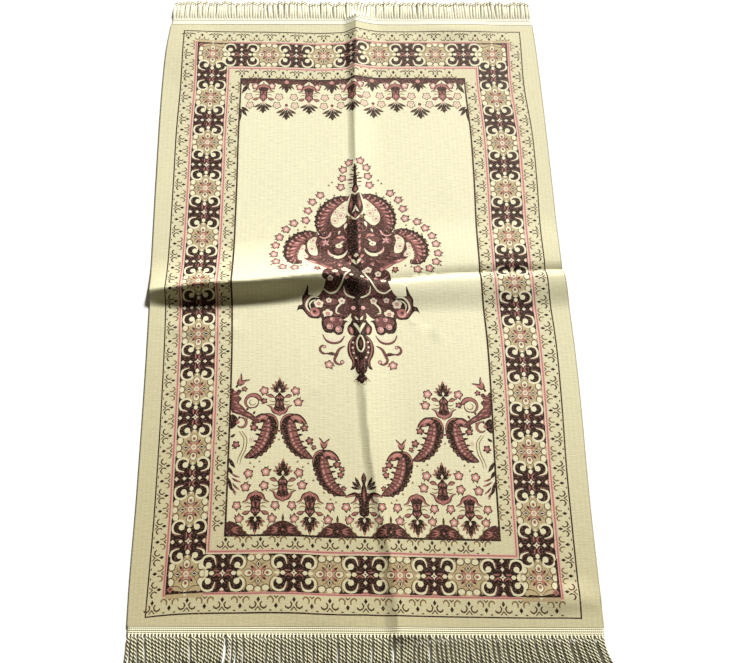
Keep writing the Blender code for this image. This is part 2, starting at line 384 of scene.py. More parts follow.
def linear(colour: str) -> tuple[float, float, float, float]:
    """Turn an sRGB hex colour to linear red, green, blue and alpha."""
    shares = [int(colour[k : k + 2], 16) / 255 for k in (1, 3, 5)]
    red, green, blue = (s / 12.92 if s <= 0.04045 else ((s + 0.055) / 1.055) ** 2.4 for s in shares)
    return red, green, blue, 1.0


def polar(length: float, degrees: float) -> complex:
    """A step of this length in this direction, counted anticlockwise from +X."""
    return cmath.rect(length, math.radians(degrees))


def steps_over(length: float, least: int, most: int) -> int:
    """How many straight steps draw a stretch of curve this long, in millimetres."""
    return min(max(round(length / CURVE_STEP), least), most)


def along(values: list[float], share: float) -> float:
    """Read evenly spaced values at a share of their range."""
    place = share * (len(values) - 1)
    i = min(int(place), len(values) - 2)
    return values[i] + (values[i + 1] - values[i]) * (place - i)


def spline(points: Outline, closed: bool = False) -> Outline:
    """Draw a smooth curve through points (Catmull-Rom).

    Args:
        points: The points that the curve passes through.
        closed: True joins the last point to the first.

    Returns:
        The points along the curve.
    """
    count = len(points)
    curve: Outline = []
    for i in range(count if closed else count - 1):
        before, here, there, after = (points[k % count] if closed else points[min(max(k, 0), count - 1)]
            for k in (i - 1, i, i + 1, i + 2))
        steps = steps_over(abs(there - here), 1, 6)
        for step in range(steps):
            t = step / steps
            curve.append(here + 0.5 * t * (there - before) + t * t * (before - 2.5 * here
                + 2 * there - 0.5 * after) + t * t * t * (1.5 * (here - there) + 0.5 * (after - before)))
    if not closed:
        curve.append(points[-1])
    return curve


def anticlockwise(outline: Outline) -> Outline:
    """The same outline, turned round if it runs clockwise."""
    double_area = sum((outline[k - 1].conjugate() * outline[k]).imag for k in range(len(outline)))
    return outline if double_area > 0 else outline[::-1]


def mirrored(points: Outline, side: int = 1, flip: int = 1) -> Outline:
    """The same points, mirrored left to right for side -1 and top to bottom for flip -1."""
    return [complex(z.real * side, z.imag * flip) for z in points]


def even(*half: complex) -> Outline:
    """A symmetric outline: these points, and then the mirror images of those off the Y axis."""
    return [*half, *(-z.conjugate() for z in reversed(half) if z.real)]


def blob(*points: complex) -> Outline:
    """A smooth closed outline through a few points."""
    return spline(list(points), True)


def box(low: complex, high: complex) -> Outline:
    """A rectangle, from its lower left and upper right corners."""
    return [low, complex(high.real, low.imag), high, complex(low.real, high.imag)]


def disc(at: complex, radius: float) -> Outline:
    """A round spot."""
    sides = steps_over(2 * math.pi * radius, 5, 18)
    return [at + polar(radius, 360 * (k + 0.5) / sides) for k in range(sides)]


def oval(at: complex, half_x: float, half_y: float) -> Outline:
    """An upright or lying oval."""
    radius = max(half_x, half_y)
    return [at + complex(z.real * half_x, z.imag * half_y) / radius for z in disc(0j, radius)]


def lobed(at: complex, radius: float, lobes: int = 5, depth: float = 0.12, turn: float = 90.0) -> Outline:
    """Draw a flower's outline: a circle that swells once for each petal.

    Args:
        at: Its middle.
        radius: Its mean radius.
        lobes: The number of petals.
        depth: How far a petal swells, as a share of the radius.
        turn: The direction of the first petal, in degrees.

    Returns:
        The outline.
    """
    steps, start = (3, 0.5) if radius > 3.2 else (2, 0.0)
    sides = steps * lobes
    return [at + polar(radius * (1 + depth * math.cos(2 * math.pi * (k + start) / steps)), turn
        + 360 * (k + start) / sides) for k in range(sides)]


def leaf(base: complex, tip: complex, half_width: float, bow: float = 0.0, widest: float = 0.45,
        blunt: float = 1.0) -> Outline:
    """Draw a leaf or petal from its base to its tip.

    Args:
        base: Where it starts.
        tip: Where it ends.
        half_width: Half its greatest width.
        bow: How far its middle bends to the left of the straight way.
        widest: Where it is widest, as a share of its length.
        blunt: 1 for pointed ends, 0.5 for round ones.

    Returns:
        The outline.
    """
    way = tip - base
    across = way * 1j / abs(way)
    power = math.log(0.5) / math.log(widest)
    steps = steps_over(abs(way), 2, 6)

    def side(t: float, sign: int) -> complex:
        """The point of one side at a share of the length."""
        spread = half_width * max(math.sin(math.pi * t**power), 0.0) ** blunt
        return base + way * t + across * (4 * bow * t * (1 - t) + sign * spread)

    stops = [k / steps for k in range(1, steps)]
    return [base, *(side(t, -1) for t in stops), tip, *(side(t, 1) for t in reversed(stops))]


def ribbon(points: Outline, half_widths: list[float], shift: float = 0.0) -> Outline:
    """Draw a band along a smooth curve.

    Args:
        points: The points that its middle passes through.
        half_widths: Half its width at evenly spaced places along it.
        shift: How far the band lies to the left of the curve, as a share of its half width.

    Returns:
        The outline.
    """
    middle = spline(points)
    last = len(middle) - 1
    left: Outline = []
    right: Outline = []
    for k, here in enumerate(middle):
        way = middle[min(k + 1, last)] - middle[max(k - 1, 0)]
        across = way * 1j / abs(way)
        half = along(half_widths, k / last)
        left.append(here + across * half * (1 + shift))
        right.append(here - across * half * (1 - shift))
    return right + left[::-1]


def spiral(centre: complex, radii: tuple[float, float], degrees: tuple[float, float],
        half_widths: list[float]) -> Outline:
    """Draw a band that winds about a centre while its radius changes evenly.

    Args:
        centre: What it winds about.
        radii: Its first and last radius.
        degrees: Its first and last direction from the centre.
        half_widths: Half its width at evenly spaced places along it.

    Returns:
        The outline.
    """
    steps = steps_over(math.radians(abs(degrees[1] - degrees[0])) * max(radii), 4, 14)
    left: Outline = []
    right: Outline = []
    for k in range(steps + 1):
        arm = polar(1.0, along(list(degrees), k / steps))
        radius, half = along(list(radii), k / steps), along(half_widths, k / steps)
        left.append(centre + arm * (radius + half))
        right.append(centre + arm * (radius - half))
    return left + right[::-1]


@dataclass
class Drawing:
    """Patches of yarn, in millimetres. A later patch lies over the earlier ones."""

    patches: list[tuple[Yarn, Outline]] = field(default_factory=list, init=False, repr=False)

    def __post_init__(self) -> None:
        """Draw at once."""
        self.draw()

    def draw(self) -> None:
        """Draw nothing. Each motif has its own."""

    def fill(self, *items: Yarn | Outline) -> None:
        """Add patches: each yarn named here is followed by the outlines that it fills."""
        for item in items:
            if isinstance(item, Yarn):
                yarn = item
            else:
                self.patches.append((yarn, item))

    def pair(self, *items: Yarn | Outline) -> None:
        """Add patches as fill does, each with its mirror image across the Y axis."""
        for item in items:
            if isinstance(item, Yarn):
                yarn = item
            else:
                self.fill(yarn, item, mirrored(item, -1))

    def add(self, motif: Drawing, at: complex = 0j, turn: float = 0.0, size: float = 1.0,
            flip: bool = False) -> None:
        """Copy a motif into this drawing.

        Args:
            motif: The drawing to copy.
            at: Where its origin goes.
            turn: Its turn, in degrees.
            size: Its scale.
            flip: True mirrors it across its own Y axis before it is turned.
        """
        spin = polar(size, turn)
        for yarn, outline in motif.patches:
            self.fill(yarn, [(-z.conjugate() if flip else z) * spin + at for z in outline])

    def add_pair(self, motif: Drawing, at: complex, turn: float = 0.0, size: float = 1.0) -> None:
        """Copy a motif, and its mirror image across the Y axis.

        Args:
            motif: The drawing to copy.
            at: Where its origin goes.
            turn: Its turn, in degrees.
            size: Its scale.
        """
        self.add(motif, at, turn, size)
        self.add(motif, -at.conjugate(), -turn, size, flip=True)


# --- The motifs ---


@dataclass
class Rosette(Drawing):
    """The small five-lobed flower that fills the field."""

    radius: float = 7.2
    buds: bool = True
    rim: Yarn = PLUM
    petals: Yarn = BLUSH

    def draw(self) -> None:
        """Draw it with its two bud tips upward."""
        if self.buds:
            for degrees in (48, 92):
                foot, tip = polar(self.radius * 0.8, degrees), polar(self.radius * 1.45, degrees - 6)
                self.fill(OLIVE, leaf(foot, tip, 1.2))
        self.fill(self.rim, lobed(0j, self.radius, depth=0.18), self.petals, lobed(0j, self.radius * 0.75,
            depth=0.18), PINK, lobed(0j, self.radius * 0.5, depth=0.1, turn=54), CREAM,
            disc(0j, self.radius * 0.27))


@dataclass
class Feather(Drawing):
    """A curved plume: a dark beaded rim along its left side, rose leaflets inside, a ragged right edge."""

    spine: Outline
    half_widths: list[float]
    leaflets: int = 9
    backward: float = 1.0

    def draw(self) -> None:
        """Draw it."""
        fine = spline(self.spine)
        last = len(fine) - 1
        self.fill(BURGUNDY, ribbon(self.spine, self.half_widths, 0.22), PLUM, ribbon(self.spine,
            [w * 0.86 for w in self.half_widths], -0.3))
        for k in range(self.leaflets):
            share = (k + 0.5) / self.leaflets
            i = min(max(round(share * last), 1), last - 1)
            way = self.backward * (fine[i + 1] - fine[i - 1]) / abs(fine[i + 1] - fine[i - 1])
            half = along(self.half_widths, share)
            out = way * 1j * self.backward * half
            way *= half
            self.fill(BURGUNDY, disc(fine[i] + 1.2 * out, half * 0.27), MAUVE,
                leaf(fine[i] - 0.4 * out - 0.2 * way, fine[i] - 1.35 * out + 0.5 * way, half * 0.3), ROSE,
                leaf(fine[i] - 0.8 * out - 0.5 * way, fine[i] + 0.3 * out + 0.3 * way, half * 0.22,
                blunt=0.6), BLUSH, disc(fine[i] + 0.52 * out + 0.1 * way, half * 0.24))
            if k % 2:
                self.fill(PINK, leaf(fine[i] - 0.5 * out - 0.3 * way, fine[i] + 0.1 * out + 0.1 * way,
                    half * 0.13))


@dataclass
class Palmette(Drawing):
    """An upright palmette: a fan of petals on top, a slim body, and a rose cup below."""

    fan: bool = True

    def draw(self) -> None:
        """Draw it about the middle of its body, fan upward."""
        self.cup()
        self.body()
        if self.fan:
            self.petals()

    def cup(self) -> None:
        """The cup and its curled wings."""
        self.pair(PLUM, ribbon([-1-26j, 9-22j, 13.5-14j, 20.5-10.5j], [1.7, 2.9, 2, 0.6]))
        self.fill(PLUM, blob(*even(-29j, 9-21j, 8-13j, -11j)))
        self.pair(ROSE, ribbon([-25.6j, 8-21.4j, 12.8-14j, 18-11.2j], [1.2, 1.8, 1.2, 0.3]))
        self.fill(ROSE, leaf(-29.5j, -20j, 2.6))
        self.pair(BLUSH, leaf(1-24.4j, 6.4-20j, 0.9), BURGUNDY, leaf(3.6-20.5j, 4.4-11j, 1.8))

    def body(self) -> None:
        """The body, with the two petals at its shoulders."""
        half = [4+7j, 8+2.4j, 6.6-5j, 7.6-13j]
        self.fill(BURGUNDY, blob(*even(12j, *half, -16j)))
        self.pair(MAUVE, [1.1+7.4j, 6.2+2.2j, 4.6-1.4j, 1.1+1.4j], [1.1-2.4j, 5-4.6j, 6-12.4j, 1.3-13j],
            BLUSH, leaf(2.2+4.6j, 4.8+1.2j, 1), ROSE, leaf(2.6-4.4j, 4.2-11.4j, 1.1))
        self.fill(ROSE, leaf(-1.4j, 5j, 1))
        self.pair(TAN, ribbon([6.4-3.4j, 11.4-5j, 16.5-2.2j], [0.7, 1, 0.3]),
            ribbon([6.8-8j, 11.8-10.4j, 17.4-8.6j], [0.7, 1, 0.3]), PLUM, leaf(6.6+1.4j, 20.5+6.4j, 3.6, 1.2,
            0.6), ROSE, leaf(9.2+2.4j, 19.2+5.6j, 2.3, 0.8, 0.6))

    def petals(self) -> None:
        """The fan: rose petals round dark leaves, and a dark spike with a rose tip."""
        for base, tip, half in ((4+15j, 15.5+19.5j, 2.2), (3.5+17j, 12.5+26j, 2.4), (2+20j, 7+31.5j, 2.2)):
            self.pair(TAN, leaf(base, tip, half, 0, 0.7, 0.8), ROSE, leaf(base + 0.4 * (tip - base),
                tip - 0.05 * (tip - base), half * 0.72, 0, 0.6, 0.8))
        self.pair(BURGUNDY, leaf(0.5+12j, 10.5+22.5j, 2.4, -1.2), leaf(0.5+14j, 6.5+28j, 2.1, -0.8),
            leaf(0.5+11.5j, 11+15j, 2, -0.8))
        self.fill(BURGUNDY, leaf(12j, 37j, 3.6, 0, 0.62), ROSE, leaf(31j, 38.5j, 1.9), IVORY,
            blob(19j, 2.2+15.5j, 12.5j, -2.2+15.5j))


@dataclass
class Tulip(Drawing):
    """A lily with two pointed petals that bend outward, on a short stalk."""

    def draw(self) -> None:
        """Draw it upright, its stalk's foot at the origin."""
        half = [3.4+5j, 4.8+9j, 5+13j, 8+19.5j, 3+16j]
        self.fill(BURGUNDY, ribbon([0j, 0.6+3j, 6j], [1.6, 1.2, 1.4]), PLUM, blob(*even(3j, *half, 12.6j)),
            ROSE, blob(*even(5.4j, 3.4+9j, 3.6+13.4j, 10.6j)))
        self.pair(BLUSH, leaf(2.6+9j, 6+17j, 1))


@dataclass
class Paisley(Drawing):
    """A leaning plume: a hooked head under a dark rim, a chain of beads and a long ragged tail."""

    def draw(self) -> None:
        """Draw it with its head at the top left and its tail running down to the right."""
        self.fill(BURGUNDY, blob(18+1j, 27-1j, 32-8j, 27-12j, 27-20j, 28-28j, 31.5-37j, 35.5-47j, 43-57j,
            52.5-69j, 42-71j, 32-68.5j, 21-61.5j, 12.6-52j, 8-41j, 5.5-30j, 2-27j, 1-15j, 5-5j, 11-0.4j),
            ROSE, ribbon([2.8-21j, 3.2-14j, 6.4-6.6j, 12-2.4j, 18-1.4j], [0.4, 1, 1.2, 1.2, 0.8]))
        # The scallops down its back, and ragged leaves down its front
        for at in (5.4-31j, 7.6-38j, 10.4-45j, 14.4-52j, 20.2-58.6j, 27-64.4j, 35-68.4j):
            self.fill(BURGUNDY, disc(at, 3.4), MAUVE, disc(at, 1.8))
        for foot, tip in ((24-28j, 34.5-25j), (27-36j, 37.5-32.5j), (30-46j, 40-43.5j), (35-54j, 45-53j)):
            self.fill(BURGUNDY, leaf(foot, tip, 2.1, 0.8))
        spine = [19-9j, 19-19j, 20.4-28j, 23.2-38j, 27.4-48j, 34.4-57j, 43-65j, 50.4-68.6j]
        widths = [4.5, 6.6, 7, 7.4, 7.2, 5.8, 3.6, 0.8]
        self.fill(MAUVE, ribbon(spine, widths))
        fine = spline(spine)
        last = len(fine) - 1
        for k in range(12):
            share = 0.04 + 0.078 * k
            i = min(max(round(share * last), 1), last - 1)
            half = along(widths, share)
            way = half * (fine[i + 1] - fine[i - 1]) / abs(fine[i + 1] - fine[i - 1])
            out = way * 1j
            self.fill(BURGUNDY, leaf(fine[i] + 0.1 * out, fine[i] + 1 * out + 0.6 * way, half * 0.22, 0, 0.7,
                0.8), ROSE, leaf(fine[i] - 0.1 * out - 0.2 * way, fine[i] + 0.95 * out + 0.2 * way,
                half * 0.2, 0, 0.6, 0.7), BLUSH if k < 9 else ROSE, disc(fine[i] - 0.46 * out, half * 0.33))
        self.hook()

    def hook(self) -> None:
        """The head's hook, the pale notch under it and the bud that it bends over."""
        self.fill(CREAM, ribbon([26-13j, 28-19j, 32-21j, 38-18.5j], [1, 2.2, 2, 0.6]), BURGUNDY,
            leaf(15-4j, 44-16.5j, 7.4, 2.4, 0.38, 0.8), ROSE, leaf(17-5.4j, 41-15j, 5.2, 2, 0.38, 0.8), BLUSH,
            leaf(20-4.2j, 35-9.6j, 1.8, 1), BURGUNDY, blob(22-10j, 26.5-8.6j, 30-12j, 25-13.6j), PLUM,
            leaf(33-10j, 39-16j, 1.3))
        self.add(Bud(), 31.5-26j, -62, 1.2)


@dataclass
class DarkBlock(Drawing):
    """The dark motif of the main border: four cream scrolls round a row of diamonds. Its long way is X."""

    def draw(self) -> None:
        """Draw it about its middle."""
        self.ground()
        for flip in (1, -1):
            for side in (1, -1):
                self.scroll(side, flip)
            self.fill(IVORY, mirrored([8.4j, 2.9+11.7j, 15j, -2.9+11.7j], 1, flip),
                mirrored([20.4j, 3.5+23.6j, 27j, -3.5+23.6j], 1, flip))
        self.pair(CREAM, [12+0j, 14.5+3j, 18+2.8j, 20+0j, 18-2.8j, 14.5-3j], ROSE,
            ribbon([5+3.1j, 9+3.5j, 13+3.9j], [0.5, 1.2, 0.7]), ribbon([3-4.6j, 8-1.3j, 13-4.8j],
            [0.6, 1.2, 0.7]))
        self.fill(IVORY, even(5.6j, 1.8+1.8j, 5.2+0j, 1.8-1.8j, -5.6j), OLIVE, [1.5j, 1.5+0j, -1.5j, -1.5+0j],
            ROSE, even(-6.5-27.5j, -3.5-25j))

    def ground(self) -> None:
        """The dark ground, cut in at both ends."""
        quarter = [20.5+0j, 21.5+4j, 25+5.5j, 30.5+9j, 33+15j, 32+21j, 30.5+24.5j, 35+26j, 35+27.5j]
        half = even(*quarter)
        self.fill(BURGUNDY, half + [z.conjugate() for z in reversed(half[1:-1])])

    def scroll(self, side: int, flip: int) -> None:
        """Draw one scroll, from its rosy tail near the middle round to the bulb at its inner end.

        Args:
            side: 1 for the right half, -1 for the left.
            flip: 1 for the upper half, -1 for the lower.
        """
        way = [10+12.7j, 11+19.6j, 15.1+23.8j, 21.7+25.1j, 28.2+22.6j, 31.2+16.3j, 29.7+10j, 25+7.2j, 21+8.6j]
        for yarn, outline in ((CREAM, ribbon(way, [1, 2.2, 1.7, 1.5, 1.6, 1.7, 1.7, 1.5, 1])),
                (MAUVE, ribbon([9.2+12j, 9.6+19.4j, 12.6+23.6j], [0.9, 1.3, 0.5])),
                (CREAM, disc(20.8+11.4j, 4.5))):
            self.fill(yarn, mirrored(outline, side, flip))


@dataclass
class LightBlock(Drawing):
    """The light motif of the main border: a rose flower between cream clouds. Its long way is X."""

    def draw(self) -> None:
        """Draw it about its middle."""
        self.fill(SAND, box(-34-27.5j, 34+27.5j))
        self.clouds()
        # The scrolls of the dark motifs at both sides carry a thin line round them.
        for at, degrees in ((31+16.2j, (128, 246)), (31-16.2j, (114, 232))):
            self.pair(OLIVE, spiral(at, (14.3, 14.3), degrees, [0.3, 0.6, 0.6, 0.3]))
        self.pair(CREAM, leaf(23+0j, 32+0j, 2.8, 0, 0.5, 0.6))
        self.flower()

    def clouds(self) -> None:
        """The clouds above and below, with dark wedges in the corners."""
        for flip in (1, -1):
            self.pair(BURGUNDY, mirrored([12.5+27.5j, 15+25.4j, 17.2+20.5j, 19.5+27.5j], 1, flip), OLIVE,
                oval(complex(11, 21 * flip), 6.3, 5.2), CREAM, oval(complex(11.2, 21.4 * flip), 5.2, 4.2))
            self.fill(OLIVE, oval(complex(0, 22.6 * flip), 5.6, 4.6), CREAM, oval(complex(0, 23.2 * flip),
                4.6, 3.8))
            self.pair(ROSE, mirrored([4.6+27j, 7.4+23.5j, 9+27j], 1, flip))

    def flower(self) -> None:
        """The flower: a white-eyed middle, two side petals, four dark leaves, and a seed above and below."""
        self.pair(OLIVE, oval(14+0j, 7, 5.8), CREAM, oval(14.3+0j, 5.8, 4.7), ROSE, oval(13+0j, 3, 2.6),
            MAUVE, disc(13+0j, 1.3))
        for flip in (1, -1):
            self.pair(ROSE, leaf(3 + 3j * flip, 11.2 + 9.4j * flip, 3, 0, 0.6, 0.7), BURGUNDY,
                leaf(6.4 + 6.2j * flip, 12 + 10.6j * flip, 1.7, 0, 0.5, 0.7), TAN,
                ribbon(mirrored([4.4+8.6j, 5.6+13j, 9.5+14.6j], 1, flip), [0.4, 0.9, 0.4]))
            self.fill(OLIVE, mirrored([5.5j, 4.6+12.4j, 19j, -4.6+12.4j], 1, flip), IVORY,
                mirrored([7.4j, 3.3+12.4j, 17.2j, -3.3+12.4j], 1, flip), BURGUNDY,
                mirrored([8.8j, 1.8+12.2j, 15.8j, -1.8+12.2j], 1, flip))
        self.fill(ROSE, lobed(0j, 5.6, 6, 0.1), IVORY, lobed(0j, 4.4, 6, 0.1), ROSE, disc(0j, 2.2), IVORY,
            disc(0j, 1))


@dataclass
class PaleFlower(Drawing):
    """A pale lobed flower with a rose eye, as scattered over the dark grounds."""

    radius: float = 7.0
    lobes: int = 5
    rim: Yarn = MAUVE

    def draw(self) -> None:
        """Draw it."""
        self.fill(self.rim, lobed(0j, self.radius * 1.12, self.lobes, 0.1), IVORY, lobed(0j, self.radius,
            self.lobes, 0.15), ROSE, lobed(0j, self.radius * 0.42, self.lobes, 0.1), PINK,
            disc(0j, self.radius * 0.22))


@dataclass
class Bud(Drawing):
    """A small ragged flower on a bent stalk."""

    def draw(self) -> None:
        """Draw it upright, its stalk's foot at the origin."""
        self.fill(OLIVE, ribbon([0j, -1+2j, 4j], [0.5, 0.8, 0.9]), PLUM, lobed(7j, 5, 5, 0.26), ROSE,
            lobed(7.2j, 2.9, 5, 0.2), BLUSH, disc(7.4j, 1.2))


@dataclass
class Scroll(Drawing):
    """A thin stalk that curls round into a pink bulb."""

    centre: complex
    radius: float
    start: float
    end: float

    def draw(self) -> None:
        """Draw it from its root to the bulb at its inner end."""
        self.fill(MAUVE, spiral(self.centre, (self.radius, self.radius * 0.62), (self.start, self.end),
            [0.8, 2.2, 2.3, 1.8, 1.2]))
        bulb = self.centre + polar(self.radius * 0.42, self.end)
        self.fill(MAUVE, disc(bulb, self.radius * 0.36), PINK, disc(bulb, self.radius * 0.24))


@dataclass
class Medallion(Drawing):
    """The middle of the field: a domed crown, two side lobes, a lower body and a hanging vase."""

    chain: tuple[complex, ...] = (9.5+242.5j, 20+230j, 22+213j, 24.5+195.5j, 60+181j, 73.5+167.5j, 81+150j,
        84.5+131j, 105+124.5j, 118+112j, 129+96.5j, 135+80.5j, 137.5+62j, 133.5+45.5j, 122+32.5j, 102+31j)

    def draw(self) -> None:
        """Draw it about the crossing of the folds."""
        self.grounds()
        self.crown()
        self.heart()
        self.wings()
        self.waist()
        self.horns()
        self.bells()
        self.vase()
        self.sprays()

    def grounds(self) -> None:
        """The mauve and dark grounds that carry the rest."""
        self.fill(PLUM, blob(*even(128j, 22+132j, 40+120j, 56+106j, 80+102j, 90+84j, 92+66j, 84+52j, 62+40j,
            40+32j, 24j)))
        body = [46+32j, 57+16j, 52+2j, 57-16j, 66-28j, 82-32j, 87-46j, 82-62j, 62-66j, 58-84j, 44-88j, 28-84j,
            20-74j, 10-84j]
        self.fill(PLUM, blob(*even(36j, *body)), BURGUNDY, blob(*even(60j, 9+40j, 18+16j, 40+22j, 32+4j,
            14-12j, 8-40j, -60j)))
        for x, y, half_x, half_y in ((30, 90, 13, 8), (54, 88, 9, 9), (66, 60, 12, 5), (44, 46, 12, 4),
                (22, -20, 11, 8), (46, -36, 16, 9), (32, -62, 8, 6)):
            turns = [polar(1, 36 * k) for k in range(10)]
            self.pair(BURGUNDY, [complex(x + half_x * z.real, y + half_y * z.imag) for z in turns], MAUVE,
                [complex(x + 0.86 * half_x * z.real, y + 0.8 * half_y * z.imag) for z in turns])

    def crown(self) -> None:
        """The dome: pale inside with flowers, closed by two feathered plumes that hook inward."""
        self.pair(PLUM, blob(2+176j, 22+170j, 42+156j, 54+136j, 54+116j, 38+108j, 2+120j), CREAM,
            blob(14+167j, 25+161j, 36+150j, 42+136j, 40+124j, 31+117j, 22+122j, 15+130j, 15.5+146j))
        for at, radius in ((25+140j, 6.2), (35+130j, 5.4), (21+155j, 4.8), (34+147j, 4.6)):
            self.add_pair(PaleFlower(radius, rim=ROSE), at)
        plume = Feather([13+173.5j, 29+169j, 44+158j, 54+144j, 58.5+128j, 58+114j, 52+104j, 44+102j],
            [2.4, 7.2, 9.4, 10, 9.6, 8.2, 5.6, 2.8], 13)
        self.add_pair(plume, 0j)
        self.pair(BURGUNDY, disc(52+103j, 3.6), PINK, ribbon([42+108j, 46+100j, 54+97.5j, 61+101j],
            [1.2, 1.4, 1.2, 0.5]))

    def heart(self) -> None:
        """The bud on the axis, and the eyes and crescents under it."""
        self.pair(CREAM, ribbon([8+178j, 12.5+164j, 15+152j, 13.5+142j, 7+133j, 126j], [0.8, 1.6, 1.9, 1.8,
            1.5, 1.2]))
        self.fill(BURGUNDY, blob(*even(175j, 7+172j, 12+156j, 10.5+143j, 4+135j, 128j)))
        self.pair(MAUVE, leaf(6+172j, 7+146j, 3.4, 1.2), ROSE, leaf(6.5+164j, 7.5+150j, 1.6, 0.8))
        self.fill(IVORY, even(155j, 4.5+144j, 6.5+141j, 1.8+142.5j, 146.5j), ROSE, leaf(128j, 141j, 2.2))
        self.pair(TAN, lobed(10+133j, 3.6, 4, 0.2, 30), OLIVE, lobed(15.5+136j, 2.2, 4, 0.2, 30), ROSE,
            disc(10+113j, 9.4), BURGUNDY, disc(10+113j, 8.4), MAUVE, leaf(5+116j, 14+106j, 2.4, 1.5), IVORY,
            leaf(15+124j, 18.5+113j, 2.5, 0.5, blunt=0.7), leaf(26+111j, 29+103j, 1.7, 0.4))
        for foot, tip in ((3+62j, 9+74j), (2.6+74j, 8+86j), (2.6+86j, 9+98j), (16+92j, 27+101j),
                (20+96j, 33+98j), (5+50j, 14+60j)):
            self.pair(ROSE, leaf(foot, tip, 2.6, 0.8, 0.6), PINK, leaf(foot + 0.3 * (tip - foot),
                tip - 0.1 * (tip - foot), 1.1, 0.6))
        # A pale crescent holds a dark half disc and a small pale flower.
        self.pair(BURGUNDY, disc(29+74j, 11.6), MAUVE, disc(29+74j, 7.4), CREAM, spiral(29.5+76j, (16, 16.5),
            (196, 338), [0.4, 2.2, 3, 2.4, 0.8]), PINK, leaf(41+62j, 47+76j, 1.8, -1.5), CREAM,
            blob(22+81j, 27+86j, 34+84j, 33+79j, 27+77j), leaf(20+90j, 28+85j, 1.6), ROSE,
            disc(28+81.5j, 1.6))
        # The small pink star between the crown and the side lobes
        for degrees in (30, 80, 140, 220, 320):
            self.pair(PINK, leaf(50.5+88j, 50.5+88j + polar(7.5, degrees), 1.6))
        for at in (59+84j, 44+99j, 36+62j, 55+66j, 62+56j, 20+50j, 30+48j, 48+54j, 12+90j):
            self.pair(BURGUNDY, leaf(at, at + 5 - 4j, 1.4, 0.6), ROSE, leaf(at + 3 + 2j, at + 8 - 1j, 1, 0.5))

    def wings(self) -> None:
        """The side lobes: pale inside with flowers, wrapped by a feathered plume."""
        self.pair(CREAM, blob(66+98j, 72+99j, 80+92j, 82+82j, 79+70j, 74+64j, 65+64j, 65+76j, 68+86j),
            blob(86+84j, 92+82j, 95+74j, 93+66j, 90+58j, 82+56j, 80+62j, 86+70j, 85+78j))
        for at, radius in ((72+93j, 5), (74+77j, 6), (90+76j, 4.5), (86+61j, 5)):
            self.add_pair(PaleFlower(radius, rim=ROSE), at)
        plume = Feather([64+105j, 80+104j, 94+96j, 105+83j, 109.5+67j, 108+54j, 100+46j, 90+46j],
            [2.4, 6.4, 9.2, 10.6, 10.8, 9.6, 7, 2.8], 13)
        self.add_pair(plume, 0j)
        self.pair(ROSE, leaf(82+52j, 46+40j, 3.4, 1.5, 0.4), PINK, leaf(78+51j, 54+44j, 1.2, 1, 0.4), MAUVE,
            leaf(70+48j, 38+26j, 4.5, -2, 0.5), ROSE, leaf(62+42j, 44+30j, 2.2, -1, 0.5), CREAM,
            blob(80+45j, 68+42j, 59+35j, 57+26j, 63+24j, 72+28j, 80+37j))
        self.add_pair(Bud(), 60+24j, -38, 1.15)

    def waist(self) -> None:
        """The tangle of leaves and flowers where the crown meets the lower body."""
        # A dark patch left of the axis: partly the pattern's dark figure, partly painted shade of the
        # crease's left face.
        self.fill(BURGUNDY, blob(-2+127j, -12+118j, -15+96j, -12+72j, -8+54j, 2+50j, 5+78j, 3+108j))
        for k in range(6):
            self.fill(ROSE, leaf(4+62j + 10j * k, 8+68j + 10j * k, 1.6))
        self.fill(IVORY, lobed(58j, 3.6, 4, 0.2))
        self.pair(CREAM, leaf(40j, 8.5+52j, 2.8, 0.5, 0.6), OLIVE, ribbon([38j, 5+44j, 9+50j],
            [0.4, 0.6, 0.3]))
        for at, radius in ((20+30j, 5.5), (36+22j, 5), (13+27j, 3.4), (44+6j, 4.8), (9+14j, 3.2)):
            self.add_pair(PaleFlower(radius), at)
        for at, turn in ((28+40j, 20), (42+30j, -30), (30+12j, -60), (48+14j, -100), (18+6j, 30),
                (10+44j, -10)):
            for degrees in (-40, 0, 40):
                self.pair(ROSE, leaf(at, at + polar(6.5, 90 + turn + degrees), 1.7))
            self.pair(PINK, disc(at, 1.6))
        self.pair(BURGUNDY, blob(46+10j, 52+16j, 58+12j, 54+4j))
        # A thin pale stem swings down and out, and ends in a curl.
        self.pair(CREAM, ribbon([12+26j, 20+12j, 26-4j, 34-17j, 45-21j, 54-15j, 62-9j], [1.2, 1.5, 1.3, 1.4,
            1.8, 1.2, 0.8]), spiral(63-12.5j, (4.6, 2.6), (110, -150), [0.7, 1, 0.8]),
            ribbon([5-30j, 14-26j, 20-20j, 22-8j], [1.2, 1.6, 1.2, 0.4]))

    def horns(self) -> None:
        """The horned leaves at both sides of the lower body."""
        self.pair(BURGUNDY, blob(62-66j, 78-68j, 86-60j, 92-53j, 99-55j, 101-60j, 97-46j, 91-44j, 91-32j,
            86-22j, 81-8j, 80-18j, 80-26j, 70-27j, 62-30j, 66-44j), MAUVE, blob(64-62j, 78-64j, 86-54j,
            88-42j, 86-30j, 80-26j, 84-40j, 80-54j, 70-58j), CREAM, ribbon([63-30j, 74-29j, 82-37j, 84-48j,
            78-58j], [0.6, 1.6, 1.7, 1.5, 0.8]), ribbon([68-34j, 75-37j, 79-44j, 77-51j],
            [0.5, 1.1, 1.1, 0.6]), ROSE, disc(71-57j, 8.2), PINK, spiral(71-57j, (6.6, 5.2), (200, 380),
            [0.6, 1.2, 0.8]), BURGUNDY, disc(71.5-56j, 3))
        for at, radius in ((64-41j, 7.6), (50-59j, 8), (47-34j, 4.6), (26-35j, 5.6)):
            self.add_pair(PaleFlower(radius, rim=BURGUNDY), at)

